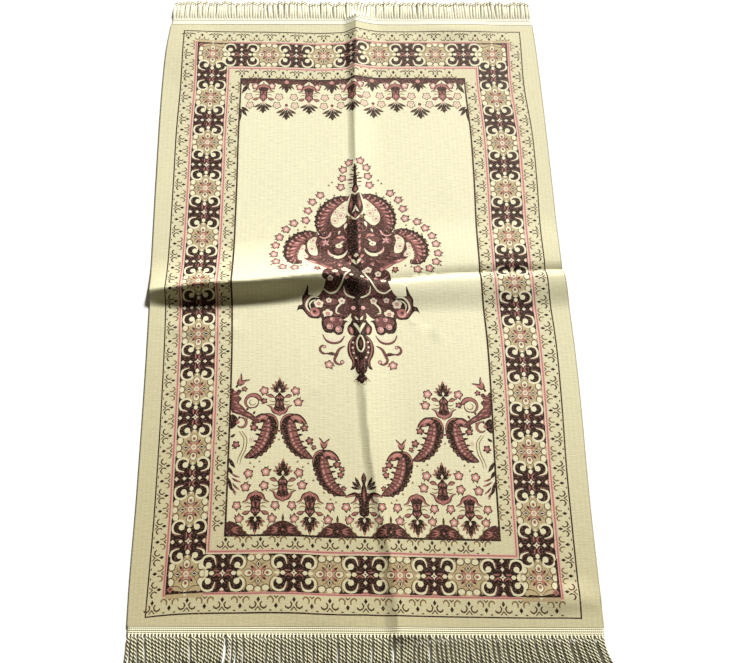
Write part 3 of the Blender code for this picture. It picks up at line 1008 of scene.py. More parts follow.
    def bells(self) -> None:
        """The two round lobes under the body, each over a pale double crescent."""
        self.pair(BURGUNDY, blob(24-66j, 40-62j, 58-66j, 61-80j, 56-92j, 46-94j, 36-99j, 27-92j), MAUVE,
            blob(27-68j, 40-64j, 56-70j, 55-80j, 44-82j, 30-82j))
        for at, radius in ((34-87j, 5.2), (48-82j, 5), (43-69j, 3.8), (29-70j, 2.8)):
            self.pair(PINK, disc(at, radius), MAUVE, spiral(at, (radius * 0.72, radius * 0.55), (60, 330),
                [0.5, 0.9, 0.5]))
        self.pair(CREAM, blob(23-92j, 27-98j, 35-102j, 42-99j, 50-102j, 58-97j, 61-88j, 56-92j, 48-95j,
            43-92j, 36-97j, 29-95j), MAUVE, ribbon([25-98j, 32-108j, 43-111j, 54-107j, 60-96j],
            [0.8, 2, 2.2, 2, 0.8]), IVORY, ribbon([27-99j, 34-104.5j, 43-106.5j, 53-103j, 58-96j],
            [0.6, 2.2, 2.6, 2.2, 0.6]), PINK, disc(8-49j, 3.6), CREAM,
            ribbon([25-38j, 34-47j, 36-57j, 31-58j], [1, 1.5, 1.3, 0.8]), [12-58j, 19-66j, 26-70j, 19-72j,
            16-80j, 11-70j, 13-66j], leaf(1-74j, 7-64j, 1.6), BURGUNDY, blob(-74j, 11-74j, 20-84j, 17-96j,
            8-99j, -100j))
        self.pair(ROSE, leaf(15-82j, 12-97j, 3, blunt=0.7), PINK, leaf(14-84j, 12.5-94j, 1.2))
        self.fill(CREAM, even(-97j, 4-88j, 9-80j, 10-76.5j, 6-77j, 2.5-82j, -88j))

    def vase(self) -> None:
        """The vase that hangs on the axis, with a pale drop, beads and a petalled tip."""
        half = [6-98j, 13-101j, 19-109j, 21.5-120j, 20-132j, 15-142j, 15-150j, 18-157j, 12-156j, 10-152j,
            8.5-160j, 4-166j]
        self.fill(BURGUNDY, blob(*even(*half)))
        self.pair(ROSE, ribbon([8-100j, 15-107j, 18-118j, 16.5-130j, 12-141j, 12.5-151j], [0.4, 0.8, 0.9, 0.9,
            0.8, 0.4]), MAUVE, ribbon([7-108j, 11.5-118j, 10-132j, 5-142j, 5-158j], [0.8, 2.4, 1.6, 1.2,
            0.6]))
        for x, y in ((12, -110), (12.6, -119), (11.4, -128), (8, -137)):
            self.pair(IVORY, disc(complex(x, y), 1.9))
        self.fill(CREAM, blob(*even(-98j, 5.4-104j, 7.2-114j, 5-124j, -129j)), BURGUNDY,
            blob(*even(-101j, 3.4-106j, 5-114j, 3.4-122j, -126j)), MAUVE, leaf(-106j, -122j, 1.6),
            leaf(-140j, -158j, 2))
        for degrees in (-60, -25, 25, 60):
            tip = -170j + polar(15.5, 270 + degrees)
            self.fill(TAN, leaf(-170j, tip, 3, blunt=0.7), CREAM, leaf(-171j, tip * 0.97 + 0.03 * (-170j),
                1.6, blunt=0.7))
        self.fill(BURGUNDY, blob(*even(-164j, 6-168j, 9-174j, 4-178j, -182j)), MAUVE, disc(-174j, 2.4))

    def sprays(self) -> None:
        """The finial on top, the chain of rosettes and the scrolls beside the vase."""
        self.fill(BURGUNDY, blob(*even(237j, 2.6+228j, 2+218j, 3.6+206j, 3.2+196j, 6+186j, 178j)))
        for foot, tip, half in ((1+204j, 14+209j, 2), (1+198j, 13+201j, 1.5), (1+214j, 10+219j, 1.5),
                (1+220j, 7+229j, 1.2), (3+190j, 11+192j, 1.2)):
            self.pair(MAUVE, leaf(foot, tip, half, 1, 0.6))
        for foot, tip, half in ((1+209j, 8+214j, 1.3), (1+226j, 5+233j, 1)):
            self.pair(BURGUNDY, leaf(foot, tip, half, 1, 0.6))
        self.fill(ROSE, leaf(180j, 192j, 2.4))
        rosette = Rosette()
        for k, at in enumerate(self.chain):
            lean = -10 - 75 * min(k / 12, 1)
            self.add_pair(rosette, at, lean)
        for at in (40+206j, 45.5+200j, 36+180j, 49+173j, 60+163j, 63+155j, 86+118j, 98+112j, 112+100j,
                119+86j, 123+66j, 82+38j, 141+38j, 92+36j):
            self.pair(TAN, lobed(at, 2.2, 3, 0.35))
        for scroll in (Scroll(33-140j, 10.5, 60, -130), Scroll(58-121j, 9, 232, 452)):
            self.add_pair(scroll, 0j)
        self.pair(MAUVE, ribbon([25-116j, 34-121j, 40-133j, 43-142j], [0.8, 2.4, 2.8, 1.4]), PLUM,
            leaf(38-132j, 56-130j, 3, 1.8))
        self.add_pair(Rosette(7.2), 51-148j, 150)


@dataclass
class NearField(Drawing):
    """The figures that rise from the near inner line, drawn upward from it."""

    pitch: float = 81.0
    upper_rosettes: tuple[complex, ...] = (98+95j, 148+96j, 174+94j, 93+76j, 150+75j, 178+73j, 104+226j,
        100+207j, 153+226j)
    lower_rosettes: tuple[complex, ...] = (27+45j, 51+45j, 108+45j, 133+45j, 190+45j, 22+25j, 54+25j, 104+25j,
        137+25j, 186+25j)

    def draw(self) -> None:
        """Draw it about the middle of the inner line."""
        self.strip()
        self.row()
        self.plumes()
        self.side_leaves()
        self.centre()

    def strip(self) -> None:
        """The maroon strip, which swells into a hump between each two palmettes."""
        self.pair(PLUM, [0j, 204+0j, 204+20j, 200+22j]
            + [complex(200 - 2.5 * k, 13.5 + 8.5 * math.cos(2 * math.pi * (200 - 2.5 * k - 40) / self.pitch))
            for k in range(1, 81)])
        for x in (40, 121, 202):
            for dx, tip in ((-6, -17), (6, 17)):
                if x + tip > 205:
                    continue
                for dy in (-3.2, 0, 3.2):
                    self.pair(ROSE, leaf(complex(x + dx, 9 + 0.4 * dy), complex(x + tip, 8 + 1.6 * dy), 1.2))
            if x < 200:
                self.pair(BURGUNDY, blob(x - 7.5 + 8.5j, x + 16j, x + 7.5 + 8.5j, x + 1j), ROSE,
                    disc(x + 8.5j, 1.9), OLIVE, leaf(x + 20j, x + 33j, 2))

    def row(self) -> None:
        """The palmettes that hang into the strip, the ones between that stand, and the rosettes."""
        rosette = Rosette()
        for at in self.lower_rosettes:
            self.add_pair(rosette, at, 180 if at.imag > 30 else 0, 0.95)
        palmette = Palmette()
        for x in (self.pitch, 2 * self.pitch):
            self.halo(x + 14j)
            self.add_pair(palmette, x + 39j, 180)
        self.add_pair(palmette, 122+79j)
        self.add_pair(palmette, 129+212j, 0, 0.97)
        for k, at in enumerate(self.upper_rosettes):
            self.add_pair(rosette, at, 70 if k % 2 else 200)

    def halo(self, at: complex) -> None:
        """Draw the pale scalloped edge round a fan that hangs over the strip.

        Args:
            at: The fan's foot.
        """
        for degrees in (185, 213, 241, 270, 299, 327, 355):
            self.pair(TAN, disc(at + 6j + polar(15.5, degrees), 6.2))
        self.pair(CREAM, disc(at + 6j, 17))
        for degrees in (185, 213, 241, 270, 299, 327, 355):
            self.pair(CREAM, disc(at + 6j + polar(15.5, degrees), 5))

    def plumes(self) -> None:
        """The paisleys: two back to back over the standing palmette, and one beside the axis."""
        paisley = Paisley()
        tulip = Tulip()
        bud = Bud()
        for side in (1, -1):
            self.add(paisley, 129 * side + 187.5j)
            self.add(paisley, 129 * side + 187.5j, flip=True)
            self.add(paisley, 78.8 * side + 132j, flip=side > 0)
        self.pair(MAUVE, ribbon([121+156j, 124+161j, 129+159.5j, 134+161j, 137+156j], [0.6, 1.4, 1.6, 1.4,
            0.6]))
        self.add_pair(tulip, 60.8+130j, 4, 1.12)
        for at, turn, size in ((80+137j, -14, 1.2), (79+131j, 40, 0.8), (36+87j, 10, 1.05),
                (30+97j, -25, 0.9), (33+78j, 150, 0.8)):
            self.add_pair(bud, at, turn, size)
        for at in (84+110j, 92+104j, 100+112j, 116+134j, 121+143j, 129+146j, 137+143j, 143+134j, 158+112j,
                166+104j, 172+110j, 42+52j, 50+56j, 60+66j, 76+84j):
            self.pair(TAN, lobed(at, 1.9, 3, 0.35))

    def side_leaves(self) -> None:
        """The acanthus that climbs the inner line at the side."""
        crest = [204+230j, 198+225j, 193+229j, 188+225j, 193+219j, 188+213j, 192+206j, 186+200j, 180+191j,
            188+186j, 197+188j, 204+194j]
        arm = [200+200j, 190+192j, 178+186j, 167+179j, 160+174j]
        self.pair(PLUM, blob(*crest))
        for at, degrees in ((170+186j, 120), (180+192j, 112), (168+176j, 290), (178+181j, 300),
                (190+185j, 285), (163+181j, 130)):
            self.pair(PLUM, leaf(at, at + polar(7.5, degrees), 2.2))
        self.pair(PLUM, ribbon(arm, [5, 5.4, 5, 4, 1.6]), MAUVE, blob(*(197+210j + 0.72 * (z - 197 - 210j)
            for z in crest)), ribbon(arm, [2.8, 3.4, 3, 2.2, 0.8]))
        for foot, tip in ((202+223j, 195+226j), (202+217j, 192+218j), (201+209j, 194+205j),
                (199+202j, 189+199j), (192+195j, 183+192j), (181+188j, 173+184j), (200+194j, 192+191j)):
            self.pair(ROSE, leaf(foot, tip, 1.5), BLUSH, leaf(0.55 * foot + 0.45 * tip, tip, 0.8))
        self.pair(PLUM, spiral(171+207j, (12.5, 10.5), (170, -80), [3.6, 4.4, 3.2, 2.4, 2, 1]), ROSE,
            spiral(171+207j, (12.5, 10.8), (160, -60), [1.8, 2.6, 1.4, 1, 0.5]), MAUVE, spiral(171+207j,
            (9.5, 9.5), (165, 290), [0.6, 1.4, 0.8]), TAN, spiral(171+207j, (5.5, 4.5), (200, 420),
            [0.5, 1, 0.5]))
        self.add_pair(Bud(), 158+204j, 50, 1)
        self.add_pair(Tulip(), 197+232j, 38, 1.25)
        self.add_pair(Bud(), 190+228j, 80, 0.9)
        self.pair(BURGUNDY, blob(204+186j, 196+184j, 192+176j, 196+168j, 204+164j), PLUM, spiral(188+173j,
            (9, 7), (60, 320), [0.8, 2.4, 2.2, 0.9]), ROSE, spiral(188+173j, (9, 7), (80, 290),
            [0.4, 1.2, 1, 0.4]), disc(193+174j, 3.2))
        for shift in (0, 4.5):
            self.pair(TAN, ribbon([191 - shift + 160j, 183 - shift + 148j, 184 - shift + 132j, 190 - shift
                + 118j, 192 - shift + 108j], [0.5, 0.8, 0.8, 0.8, 0.4]))
        self.add_pair(Bud(), 200+132j, 40, 1.2)
        self.add_pair(PaleFlower(3.2), 171+146j)
        for foot, tip, half in ((204+150j, 196+156j, 2.4), (204+118j, 194+102j, 3), (204+104j, 197+92j, 2.8),
                (204+88j, 196+66j, 2.6), (204+76j, 190+64j, 1.8)):
            self.pair(BURGUNDY, leaf(foot, tip, half, 0.8))
        for foot, tip in ((200+94j, 186+88j), (200+88j, 184+80j), (198+80j, 186+68j), (196+72j, 192+60j)):
            self.pair(MAUVE, leaf(foot, tip, 1.7, 1), ROSE, leaf(foot + 0.5 * (tip - foot), tip, 1))

    def centre(self) -> None:
        """The taller palmette on the axis, with two arms that meet the single paisleys."""
        self.halo(14j)
        self.add(Palmette(), 40j, 180)
        self.fill(BURGUNDY, blob(*even(84j, 4+72j, 5.6+56j, 7.5+44j, 6+32j)), MAUVE, leaf(76j, 46j, 2), ROSE,
            leaf(70j, 52j, 0.9))
        for tip, half in ((18+84j, 2.6), (13+91j, 2.4), (20+76j, 2.2)):
            self.pair(BURGUNDY, leaf(2+72j, tip, half, -1, 0.65))
        self.fill(BURGUNDY, leaf(74j, 98j, 4, 0, 0.6), MAUVE, leaf(84j, 97j, 1.6))
        self.pair(BURGUNDY, ribbon([4+56j, 12+64j, 20+63j, 28+60j], [2.2, 3.4, 3, 1.2]), ROSE,
            ribbon([14+63j, 20+62j, 27+60j], [0.6, 1.4, 0.8]))


@dataclass
class FarField(Drawing):
    """The fringe of flowers under the far inner line, drawn downward from it."""

    palmettes: tuple[float, ...] = (0, 79, 163)
    sprays: tuple[float, ...] = (37, 120.5)

    def draw(self) -> None:
        """Draw it about the middle of the inner line."""
        edge = [0j, 204+0j, 204-11j]
        for k in range(1, 52):
            x = 204 - 4 * k
            edge.append(complex(x, -11.5 - 2.6 * math.cos(2 * math.pi * x / 40.5) - (k % 2) * 1.6))
        self.pair(PLUM, edge)
        for k in range(17):
            self.pair(MAUVE, leaf(6 + 12 * k - 4j, complex(12 + 12 * k, -9 - 2 * (k % 2)), 1.6))
        for x in (15, 64, 96, 148, 178):
            self.pair(MAUVE, lobed(x - 15.5j, 7.4, depth=0.17), PINK, lobed(x - 15.5j, 5), CREAM,
                disc(x - 15j, 2.8))
        for x in self.palmettes:
            self.pair(CREAM, blob(x - 9 - 22j, x - 8.5 - 11j, x - 4j, x + 8.5 - 11j, x + 9 - 22j), MAUVE,
                leaf(x - 5j, x - 20j, 1.4))
            self.add_pair(Palmette(fan=False), x - 38j, 180, 0.98)
            self.pair(MAUVE, oval(x - 39j, 6.2, 7.4), ROSE, leaf(x - 33j, x - 46j, 2.4))
            for side in (1, -1):
                self.pair(ROSE, leaf(x + 2.6 * side - 35j, x + 4.6 * side - 43j, 1.3))
            self.pair(BLUSH, leaf(x - 35j, x - 42j, 1.1))
            self.spray(x - 47j, 1.12, pink=False)
        for x in self.sprays:
            self.pair(BLUSH, disc(x - 6.0j, 4), BURGUNDY, leaf(x - 9j, x - 30j, 4.2, 0, 0.5, 0.8))
            for side in (1, -1):
                self.pair(BURGUNDY, leaf(x + 1.5 * side - 9j, x + 9 * side - 24j, 2.4), OLIVE,
                    leaf(x + 2 * side - 8j, x + 15 * side - 22j, 2.2))
            self.spray(x - 58j, 1.22, pink=True)
        self.pair(BURGUNDY, leaf(190-10j, 203.5-32j, 4), OLIVE, leaf(196-12j, 188-26j, 1.8))
        for foot, tip in ((203-60j, 188-70j), (203-64j, 191-80j), (204-62j, 204-92j)):
            self.pair(BURGUNDY, leaf(foot, tip, 3))
        rosette = Rosette(7.6, False, TAN, IVORY)
        for at in (26-38j, 50-38j, 107-38j, 134-38j, 190-38j, 21-56j, 52-56j, 105-56j, 138-56j, 187-56j):
            self.add_pair(rosette, at, 180)

    def spray(self, at: complex, size: float, pink: bool) -> None:
        """Draw five dark leaves that spread downward, over a bud.

        Args:
            at: Where they spring from.
            size: Their scale.
            pink: True for the larger, pink bud.
        """
        if pink:
            self.pair(MAUVE, disc(at + 2.5j, 3.2), PINK, blob(at - 1j, at + 4 - 5j, at - 10j, at - 4 - 5j))
        else:
            self.pair(PINK, leaf(at, at - 8j, 2.2))
        self.pair(BURGUNDY, leaf(at - 5j * size, at - 24j * size, 3.4 * size, 0, 0.6, 0.8))
        for side in (1, -1):
            for yarn, foot, tip, half in ((OLIVE, 2-3j, 15.5-12j, 2.3), (BURGUNDY, 1-4j, 11-18j, 2.3),
                    (BURGUNDY, 1-9j, 6-21j, 1.5)):
                self.pair(yarn, leaf(at + mirrored([foot], side)[0] * size, at + mirrored([tip],
                    side)[0] * size, half * size, -1.6 * side, 0.6))


@dataclass
class GuardPair(Drawing):
    """Two seeds of a guard: a high one over a fork, and a low one between two curls."""

    pitch: float
    height: float = 1.0

    def draw(self) -> None:
        """Draw it about the high seed's place on the guard's middle line, the low seed to its right."""
        wide = self.pitch / 25.5
        for yarn, outline in self.strokes():
            self.fill(yarn, [complex(z.real * wide, z.imag * self.height) for z in outline])

    def strokes(self) -> list[tuple[Yarn, Outline]]:
        """Every stroke of the pair, for seeds 25.5 mm apart on a guard 24 mm wide."""
        drawn = [(BURGUNDY, [10j, 2.7+5.8j, 1.6j, -2.7+5.8j]), (OLIVE, even(-3.2j, 5.4-9.8j, 3.2-9.8j,
            -5.8j)), (BURGUNDY, [25.5+1.2j, 28.4-3.1j, 25.5-7.4j, 22.6-3.1j]),
            (OLIVE, [25.5+6.6j, 29.5+10.6j, 27.7+11.2j, 25.5+9j, 23.3+11.2j, 21.5+10.6j])]
        for side in (1, -1):
            fork = [5.2+3j, 2.9-0.6j, 4.2-4.6j, 7.8-6.6j, 11.4-5j, 12.2-2.6j]
            curl = [4.6+0.8j, 4.2+6j, 8.2+9.8j, 12.4+7.4j, 12+5j]
            dash = [5-9.6j, 7.8-8.2j, 10.4-9.4j, 7.8-10.6j]
            drawn += [(OLIVE, ribbon(mirrored(fork, side), [1, 1.2, 1.1, 1.4, 1.3, 0.8])),
                (TAN, [25.5 + z for z in ribbon(mirrored(curl, side), [0.9, 1.3, 1.2, 1.3, 0.7])]),
                (OLIVE, [25.5 + z for z in mirrored(dash, side)])]
        return drawn


@dataclass
class Frame(Drawing):
    """The bands round the field: the inner line, two guards and the main border between their lines."""

    half_width: float = 315.0
    half_length: float = 531.5

    def draw(self) -> None:
        """Draw all the bands, corners included."""
        self.ring(303, 518.5, 24, MARGIN)
        self.ring(216.8, 432, 22, MARGIN)
        self.ring(315, 531.5, 2.2, BURGUNDY)
        self.guards()
        self.ring(290, 503.9, 4.6, PINK)
        self.ring(290.2, 504.2, 1.6, ROSE)
        self.ring(229, 444, 4.6, PINK)
        self.ring(228.8, 443.8, 1.6, ROSE)
        self.main_border()
        self.ring(205.5, 421, 3, BURGUNDY)

    def ring(self, x: float, y: float, width: float, yarn: Yarn) -> None:
        """Draw a line round the rug.

        Args:
            x: How far its long sides lie from the middle.
            y: How far its short sides lie from the middle.
            width: Its width.
            yarn: Its yarn.
        """
        half = width / 2
        end = box(complex(-x - half, y - half), complex(x + half, y + half))
        side = box(complex(x - half, -y), complex(x + half, y))
        for sign in (1, -1):
            self.fill(yarn, mirrored(end, 1, sign), mirrored(side, sign))

    def main_border(self) -> None:
        """Dark and light motifs by turns along every side, a light one in each corner."""
        dark, light = DarkBlock(), LightBlock()
        along_sides, along_ends = np.arange(-5, 5.1, 0.5) * 95, np.arange(-2, 2.1, 0.5) * 103
        for motif, first in ((light, 0), (dark, 1)):
            for y in along_sides[first::2]:
                for side in (1, -1):
                    self.add(motif, complex(259.5 * side, y), 90)
            for x in along_ends[1 - first :: 2]:
                for side in (1, -1):
                    self.add(motif, complex(x, 475 * side))
        corner = [288+503j, 238+503j, 243+499j, 262+500.5j, 279+497j, 284+488j, 285.5+470j, 284+450j,
            288+446j]
        for flip in (1, -1):
            self.pair(BURGUNDY, mirrored(corner, 1, flip), ROSE, mirrored([286+496j, 281+501j, 276+496j,
                281+491j], 1, flip), MAUVE, mirrored([283.6+496j, 281+498.6j, 278.4+496j, 281+493.4j], 1,
                flip))

    def guards(self) -> None:
        """The narrow bands on both sides of the main border."""
        for band_x, last, height in ((303, 22, 0.96), (216.8, 18, 0.88)):
            side = GuardPair(23, height)
            for k in range(-last, last, 2):
                for sign in (1, -1):
                    self.add(side, complex(band_x * sign, 23 * (k + 0.5)), 90 * sign, flip=sign < 0)
        for band_y, last, height in ((518.5, 12, 1), (432, 8, 0.92)):
            end = GuardPair(25.5, height)
            for k in range(-last, last, 2):
                for sign in (1, -1):
                    self.add(end, complex(25.5 * k, band_y * sign), 0 if sign < 0 else 180, flip=sign > 0)


@dataclass
class Rug(Drawing):
    """The whole pattern, flat, about the rug's middle."""

    outer_line: tuple[float, float] = (315.0, 531.5)
    inner_line: float = 421.0

    def draw(self) -> None:
        """Draw the cream ground, the field and then the bands over its edges."""
        x, y = self.outer_line
        self.fill(CREAM, box(complex(-x, -y), complex(x, y)))
        self.add(NearField(), -1j * self.inner_line)
        self.add(FarField(), 1j * self.inner_line)
        self.add(Medallion())
        self.add(Frame())


# --- Finishes ---


Tree = bpy.types.NodeTree
Socket = bpy.types.NodeSocket


def add_node(tree: Tree, kind: str, inputs: dict | None = None, **settings: object) -> bpy.types.Node:
    """Add one shader node.

    Args:
        tree: The material's node tree.
        kind: The node's type, without its leading ShaderNode.
        inputs: What each input takes: a socket that is linked to it, or a value.
        settings: The node's own settings.

    Returns:
        The node.
    """
    node = tree.nodes.new(f"ShaderNode{kind}")
    for name, value in settings.items():
        setattr(node, name, value)
    for name, value in (inputs or {}).items():
        if isinstance(value, Socket):
            tree.links.new(value, node.inputs[name])
        else:
            node.inputs[name].default_value = value
    return node


def calculate(tree: Tree, operation: str, *values: object) -> Socket:
    """Add a Math node that takes these sockets or numbers in order, and give its output."""
    return add_node(tree, "Math", dict(enumerate(values)), operation=operation).outputs[0]


def bands(tree: Tree, flat: Socket, period_mm: float, across: str, distortion: float) -> Socket:
    """Add even bands, as a height from 0 to 1.

    Args:
        tree: The material's node tree.
        flat: A map in metres.
        period_mm: How far apart they are.
        across: The axis of the map that they cross.
        distortion: How uneven they are.

    Returns:
        The height.
    """
    scale = 2 * math.pi / (20 * period_mm * MM)
    inputs = {"Vector": flat, "Scale": scale, "Distortion": distortion}
    return add_node(tree, "TexWave", inputs, bands_direction=across).outputs["Fac"]


def blend(tree: Tree, factor: Socket, *stops: tuple[float, str]) -> Socket:
    """Add a blend of two colours.

    Args:
        tree: The material's node tree.
        factor: What it depends on.
        stops: For each colour, the value of the factor that it stands at, and the colour.

    Returns:
        The blend.
    """
    node = add_node(tree, "ValToRGB", {"Fac": factor})
    for element, (place, colour) in zip(node.color_ramp.elements, stops):
        element.position, element.color = place, linear(colour)
    return node.outputs["Color"]


@dataclass(frozen=True)
class Finish:
    """A material made of nodes, named for what the real one is and how its surface was made."""

    name: str
    roughness: float

    def begin(self) -> tuple[bpy.types.Material, Tree]:
        """An empty material and its node tree."""
        material = bpy.data.materials.new(self.name)
        material.use_nodes = True
        material.node_tree.nodes.clear()
        return material, material.node_tree

    def close(self, tree: Tree, colour: Socket, relief: tuple[Socket, float, float] | None = None,
            **gloss: object) -> None:
        """Add the shader at the end of a material.

        Args:
            tree: The material's node tree.
            colour: Its colour.
            relief: Its height, with the strength and the depth of the relief in metres.
            gloss: More of the shader's inputs, by their names with underscores.
        """
        inputs = {name.replace("_", " "): value for name, value in gloss.items()}
        inputs |= {"Roughness": self.roughness, "Base Color": colour}
        if relief:
            height, strength, depth = relief
            bump = add_node(tree, "Bump", {"Height": height, "Strength": strength, "Distance": depth})
            inputs["Normal"] = bump.outputs["Normal"]
        shader = add_node(tree, "BsdfPrincipled", inputs)
        add_node(tree, "OutputMaterial", {"Surface": shader.outputs["BSDF"]})


@dataclass(frozen=True)
class WovenPile(Finish):
    """Jacquard-woven chenille on cotton: short soft weft rows, matt, with a faint sheen at a low angle."""

    knot_mm: tuple[float, float] = (2.4, 1.7)  # the real ones are half as big; finer ones don't show
    float_mm: tuple[float, float] = (14.0, 2.0)
    fleck_mm: tuple[float, float] = (3.4, 1.9)
    rib_mm: float = 7.5
    soil_mm: float = 130.0
    relief: float = 0.00035
    thread: str = "#c9968a"
    # Painted shade towards the near end: it fades out between these two places along a slant, and at its
    # strongest it darkens the pile by this colour.
    painted_shade_from_to: tuple[float, float] = (-0.600, 0.100)
    painted_shade: str = "#dcd7cd"

    def grain(self, tree: Tree, flat: Socket, size: tuple[float, float]) -> Socket:
        """Noise whose grains are this long across the rug and along it, in millimetres."""
        scale = (1 / (size[0] * MM), 1 / (size[1] * MM), 1.0)
        stretched = add_node(tree, "Mapping", {"Vector": flat, "Scale": scale}).outputs["Vector"]
        return add_node(tree, "TexNoise", {"Vector": stretched, "Scale": 1.0, "Detail": 2.0}).outputs["Fac"]

    def material(self) -> bpy.types.Material:
        """Build it from the cloth's yarn colours and its flat map."""
        material, tree = self.begin()
        flat = add_node(tree, "UVMap", uv_map="flat").outputs["UV"]
        yarn = add_node(tree, "Attribute", attribute_name="yarn").outputs["Color"]
        knots, floats, flecks = (self.grain(tree, flat, size) for size in (self.knot_mm, self.float_mm,
            self.fleck_mm))
        ribs = bands(tree, flat, self.rib_mm, "X", 0.6)
        soil = add_node(tree, "TexNoise", {"Vector": flat, "Scale": 1 / (self.soil_mm * MM),
            "Detail": 3.0}).outputs["Fac"]
        # Brightness: single knots, floats of yarn, faint ribs and the slow variation of use
        shade = 1.0
        for part, amount in ((knots, 0.34), (floats, 0.32), (ribs, 0.045), (soil, 0.08)):
            centred = calculate(tree, "MULTIPLY_ADD", part, amount, -0.5 * amount)
            shade = calculate(tree, "ADD", centred, shade)
        # The dark yarns cover thinly: light threads of the other weft show between them as flecks.
        value = add_node(tree, "RGBToBW", {"Color": yarn}).outputs[0]
        dark = add_node(tree, "MapRange", {"Value": value, 1: 0.10, 2: 0.45, 3: 0.40, 4: 0.0}).outputs[0]
        fleck = add_node(tree, "MapRange", {"Value": flecks, 1: 0.54, 2: 0.66, 3: 0.0, 4: 1.0}).outputs[0]
        share = calculate(tree, "MULTIPLY", dark, fleck)
        mixed = add_node(tree, "Mix", {0: share, 6: yarn, 7: linear(self.thread)},
            data_type="RGBA").outputs[2]
        # Use has dulled the near end, a little more towards the left.
        slant = add_node(tree, "VectorMath", {0: flat, 1: (0.3, 1.0, 0.0)},
            operation="DOT_PRODUCT").outputs[1]
        start, end = self.painted_shade_from_to
        unshaded_share = add_node(tree, "MapRange", {"Value": slant, 1: start, 2: end},
            # Painted shade: the pile is darker towards the near end, and a little more towards the left, as a
            # light that falls off away from the far end would leave it.
            interpolation_type="SMOOTHSTEP").outputs[0]
        painted_shade_factor = add_node(tree, "Mix", {0: unshaded_share, 6: linear(self.painted_shade), 7: linear("#ffffff")},
            data_type="RGBA").outputs[2]
        painted_shade = add_node(tree, "VectorMath", {0: mixed, 1: painted_shade_factor}, operation="MULTIPLY").outputs["Vector"]
        colour = add_node(tree, "VectorMath", {0: painted_shade, "Scale": shade}, operation="SCALE").outputs["Vector"]
        relief = (calculate(tree, "ADD", knots, floats), 0.55, self.relief)
        self.close(tree, colour, relief, Sheen_Weight=0.04, Sheen_Roughness=0.5, Specular_IOR_Level=0.22,
            Specular_Tint=linear("#ffe2bc"))
        return material


@dataclass(frozen=True)
class TwistedCotton(Finish):
    """Two-ply cotton cord: pale plies, with painted shade in the grooves that run round it, matt."""

    light: str = "#f2eccd"
    groove: str = "#4e4828"

    def material(self) -> bpy.types.Material:
        """Build it from the cords' twist map, which counts plies round a cord and turns along it."""
        material, tree = self.begin()
        twist = add_node(tree, "UVMap", uv_map="twist").outputs["UV"]
        ply = add_node(tree, "TexWave", {"Vector": twist, "Scale": 2 * math.pi / 10, "Distortion": 0.4,
            "Detail": 1.0}, bands_direction="DIAGONAL").outputs["Fac"]
        place = add_node(tree, "TexCoord").outputs["Object"]
        mottle = add_node(tree, "TexNoise", {"Vector": place, "Scale": 260.0, "Detail": 2.0}).outputs["Fac"]
        # The groove colour is painted shade in the hollows between the plies.
        tone = blend(tree, ply, (0.42, self.groove), (0.78, self.light))
        strength = calculate(tree, "MULTIPLY_ADD", mottle, 0.4, 0.8)
        colour = add_node(tree, "VectorMath", {0: tone, "Scale": strength},
            operation="SCALE").outputs["Vector"]
        self.close(tree, colour, (ply, 0.6, 0.0005), Specular_IOR_Level=0.25)
        return material


@dataclass(frozen=True)
class WovenTape(Finish):
    """Ribbed cotton tape: flat ribs along it, crossed by the stitches that hold it to the cloth."""

    light: str = "#eae4c3"
    groove: str = "#7a7148"
    rib_mm: float = 2.9
    stitch_mm: float = 2.9
    stitched_mm: float = 6.4

    def material(self) -> bpy.types.Material:
        """Build it from the tape's flat map."""
        material, tree = self.begin()
        flat = add_node(tree, "UVMap", uv_map="flat").outputs["UV"]
        ribs = bands(tree, flat, self.rib_mm, "Y", 0.3)
        stitches = bands(tree, flat, self.stitch_mm, "X", 0.5)
        out = add_node(tree, "SeparateXYZ", {"Vector": flat}).outputs["Y"]
        inner = calculate(tree, "LESS_THAN", out, self.stitched_mm * MM)
        held = calculate(tree, "MULTIPLY", stitches, inner)
        height = calculate(tree, "MULTIPLY_ADD", held, 0.6, ribs)
        # Painted shade: the tape is darker where its ribs and stitches dip.
        tone = blend(tree, height, (0.05, self.groove), (0.75, self.light))
        self.close(tree, tone, (height, 0.6, 0.0005), Specular_IOR_Level=0.2)
        return material


@dataclass(frozen=True)
class PaleFloor(Finish):
    """Matt painted board: almost white, with a barely uneven tone."""

    colour: str = "#fbfbfb"

    def material(self) -> bpy.types.Material:
        """Build it."""
        material, tree = self.begin()
        place = add_node(tree, "TexCoord").outputs["Object"]
        mottle = add_node(tree, "TexNoise", {"Vector": place, "Scale": 3.0, "Detail": 2.0}).outputs["Fac"]
        tone = calculate(tree, "MULTIPLY_ADD", mottle, 0.02, 0.98)
        inputs = {0: linear(self.colour)[:3], "Scale": tone}
        self.close(tree, add_node(tree, "VectorMath", inputs, operation="SCALE").outputs["Vector"])
        return material


# --- The pieces ---


class Node(Enum):
    """The part's solids that the pieces here replace."""

    CLOTH = "rug_cloth"
    NEAR_FRINGE = "fringe_near"
    FAR_FRINGE = "fringe_far"


class Slot(Enum):
    """The part's material slots."""

    CLOTH = "woven_cloth"
    FRINGE = "cotton_fringe"


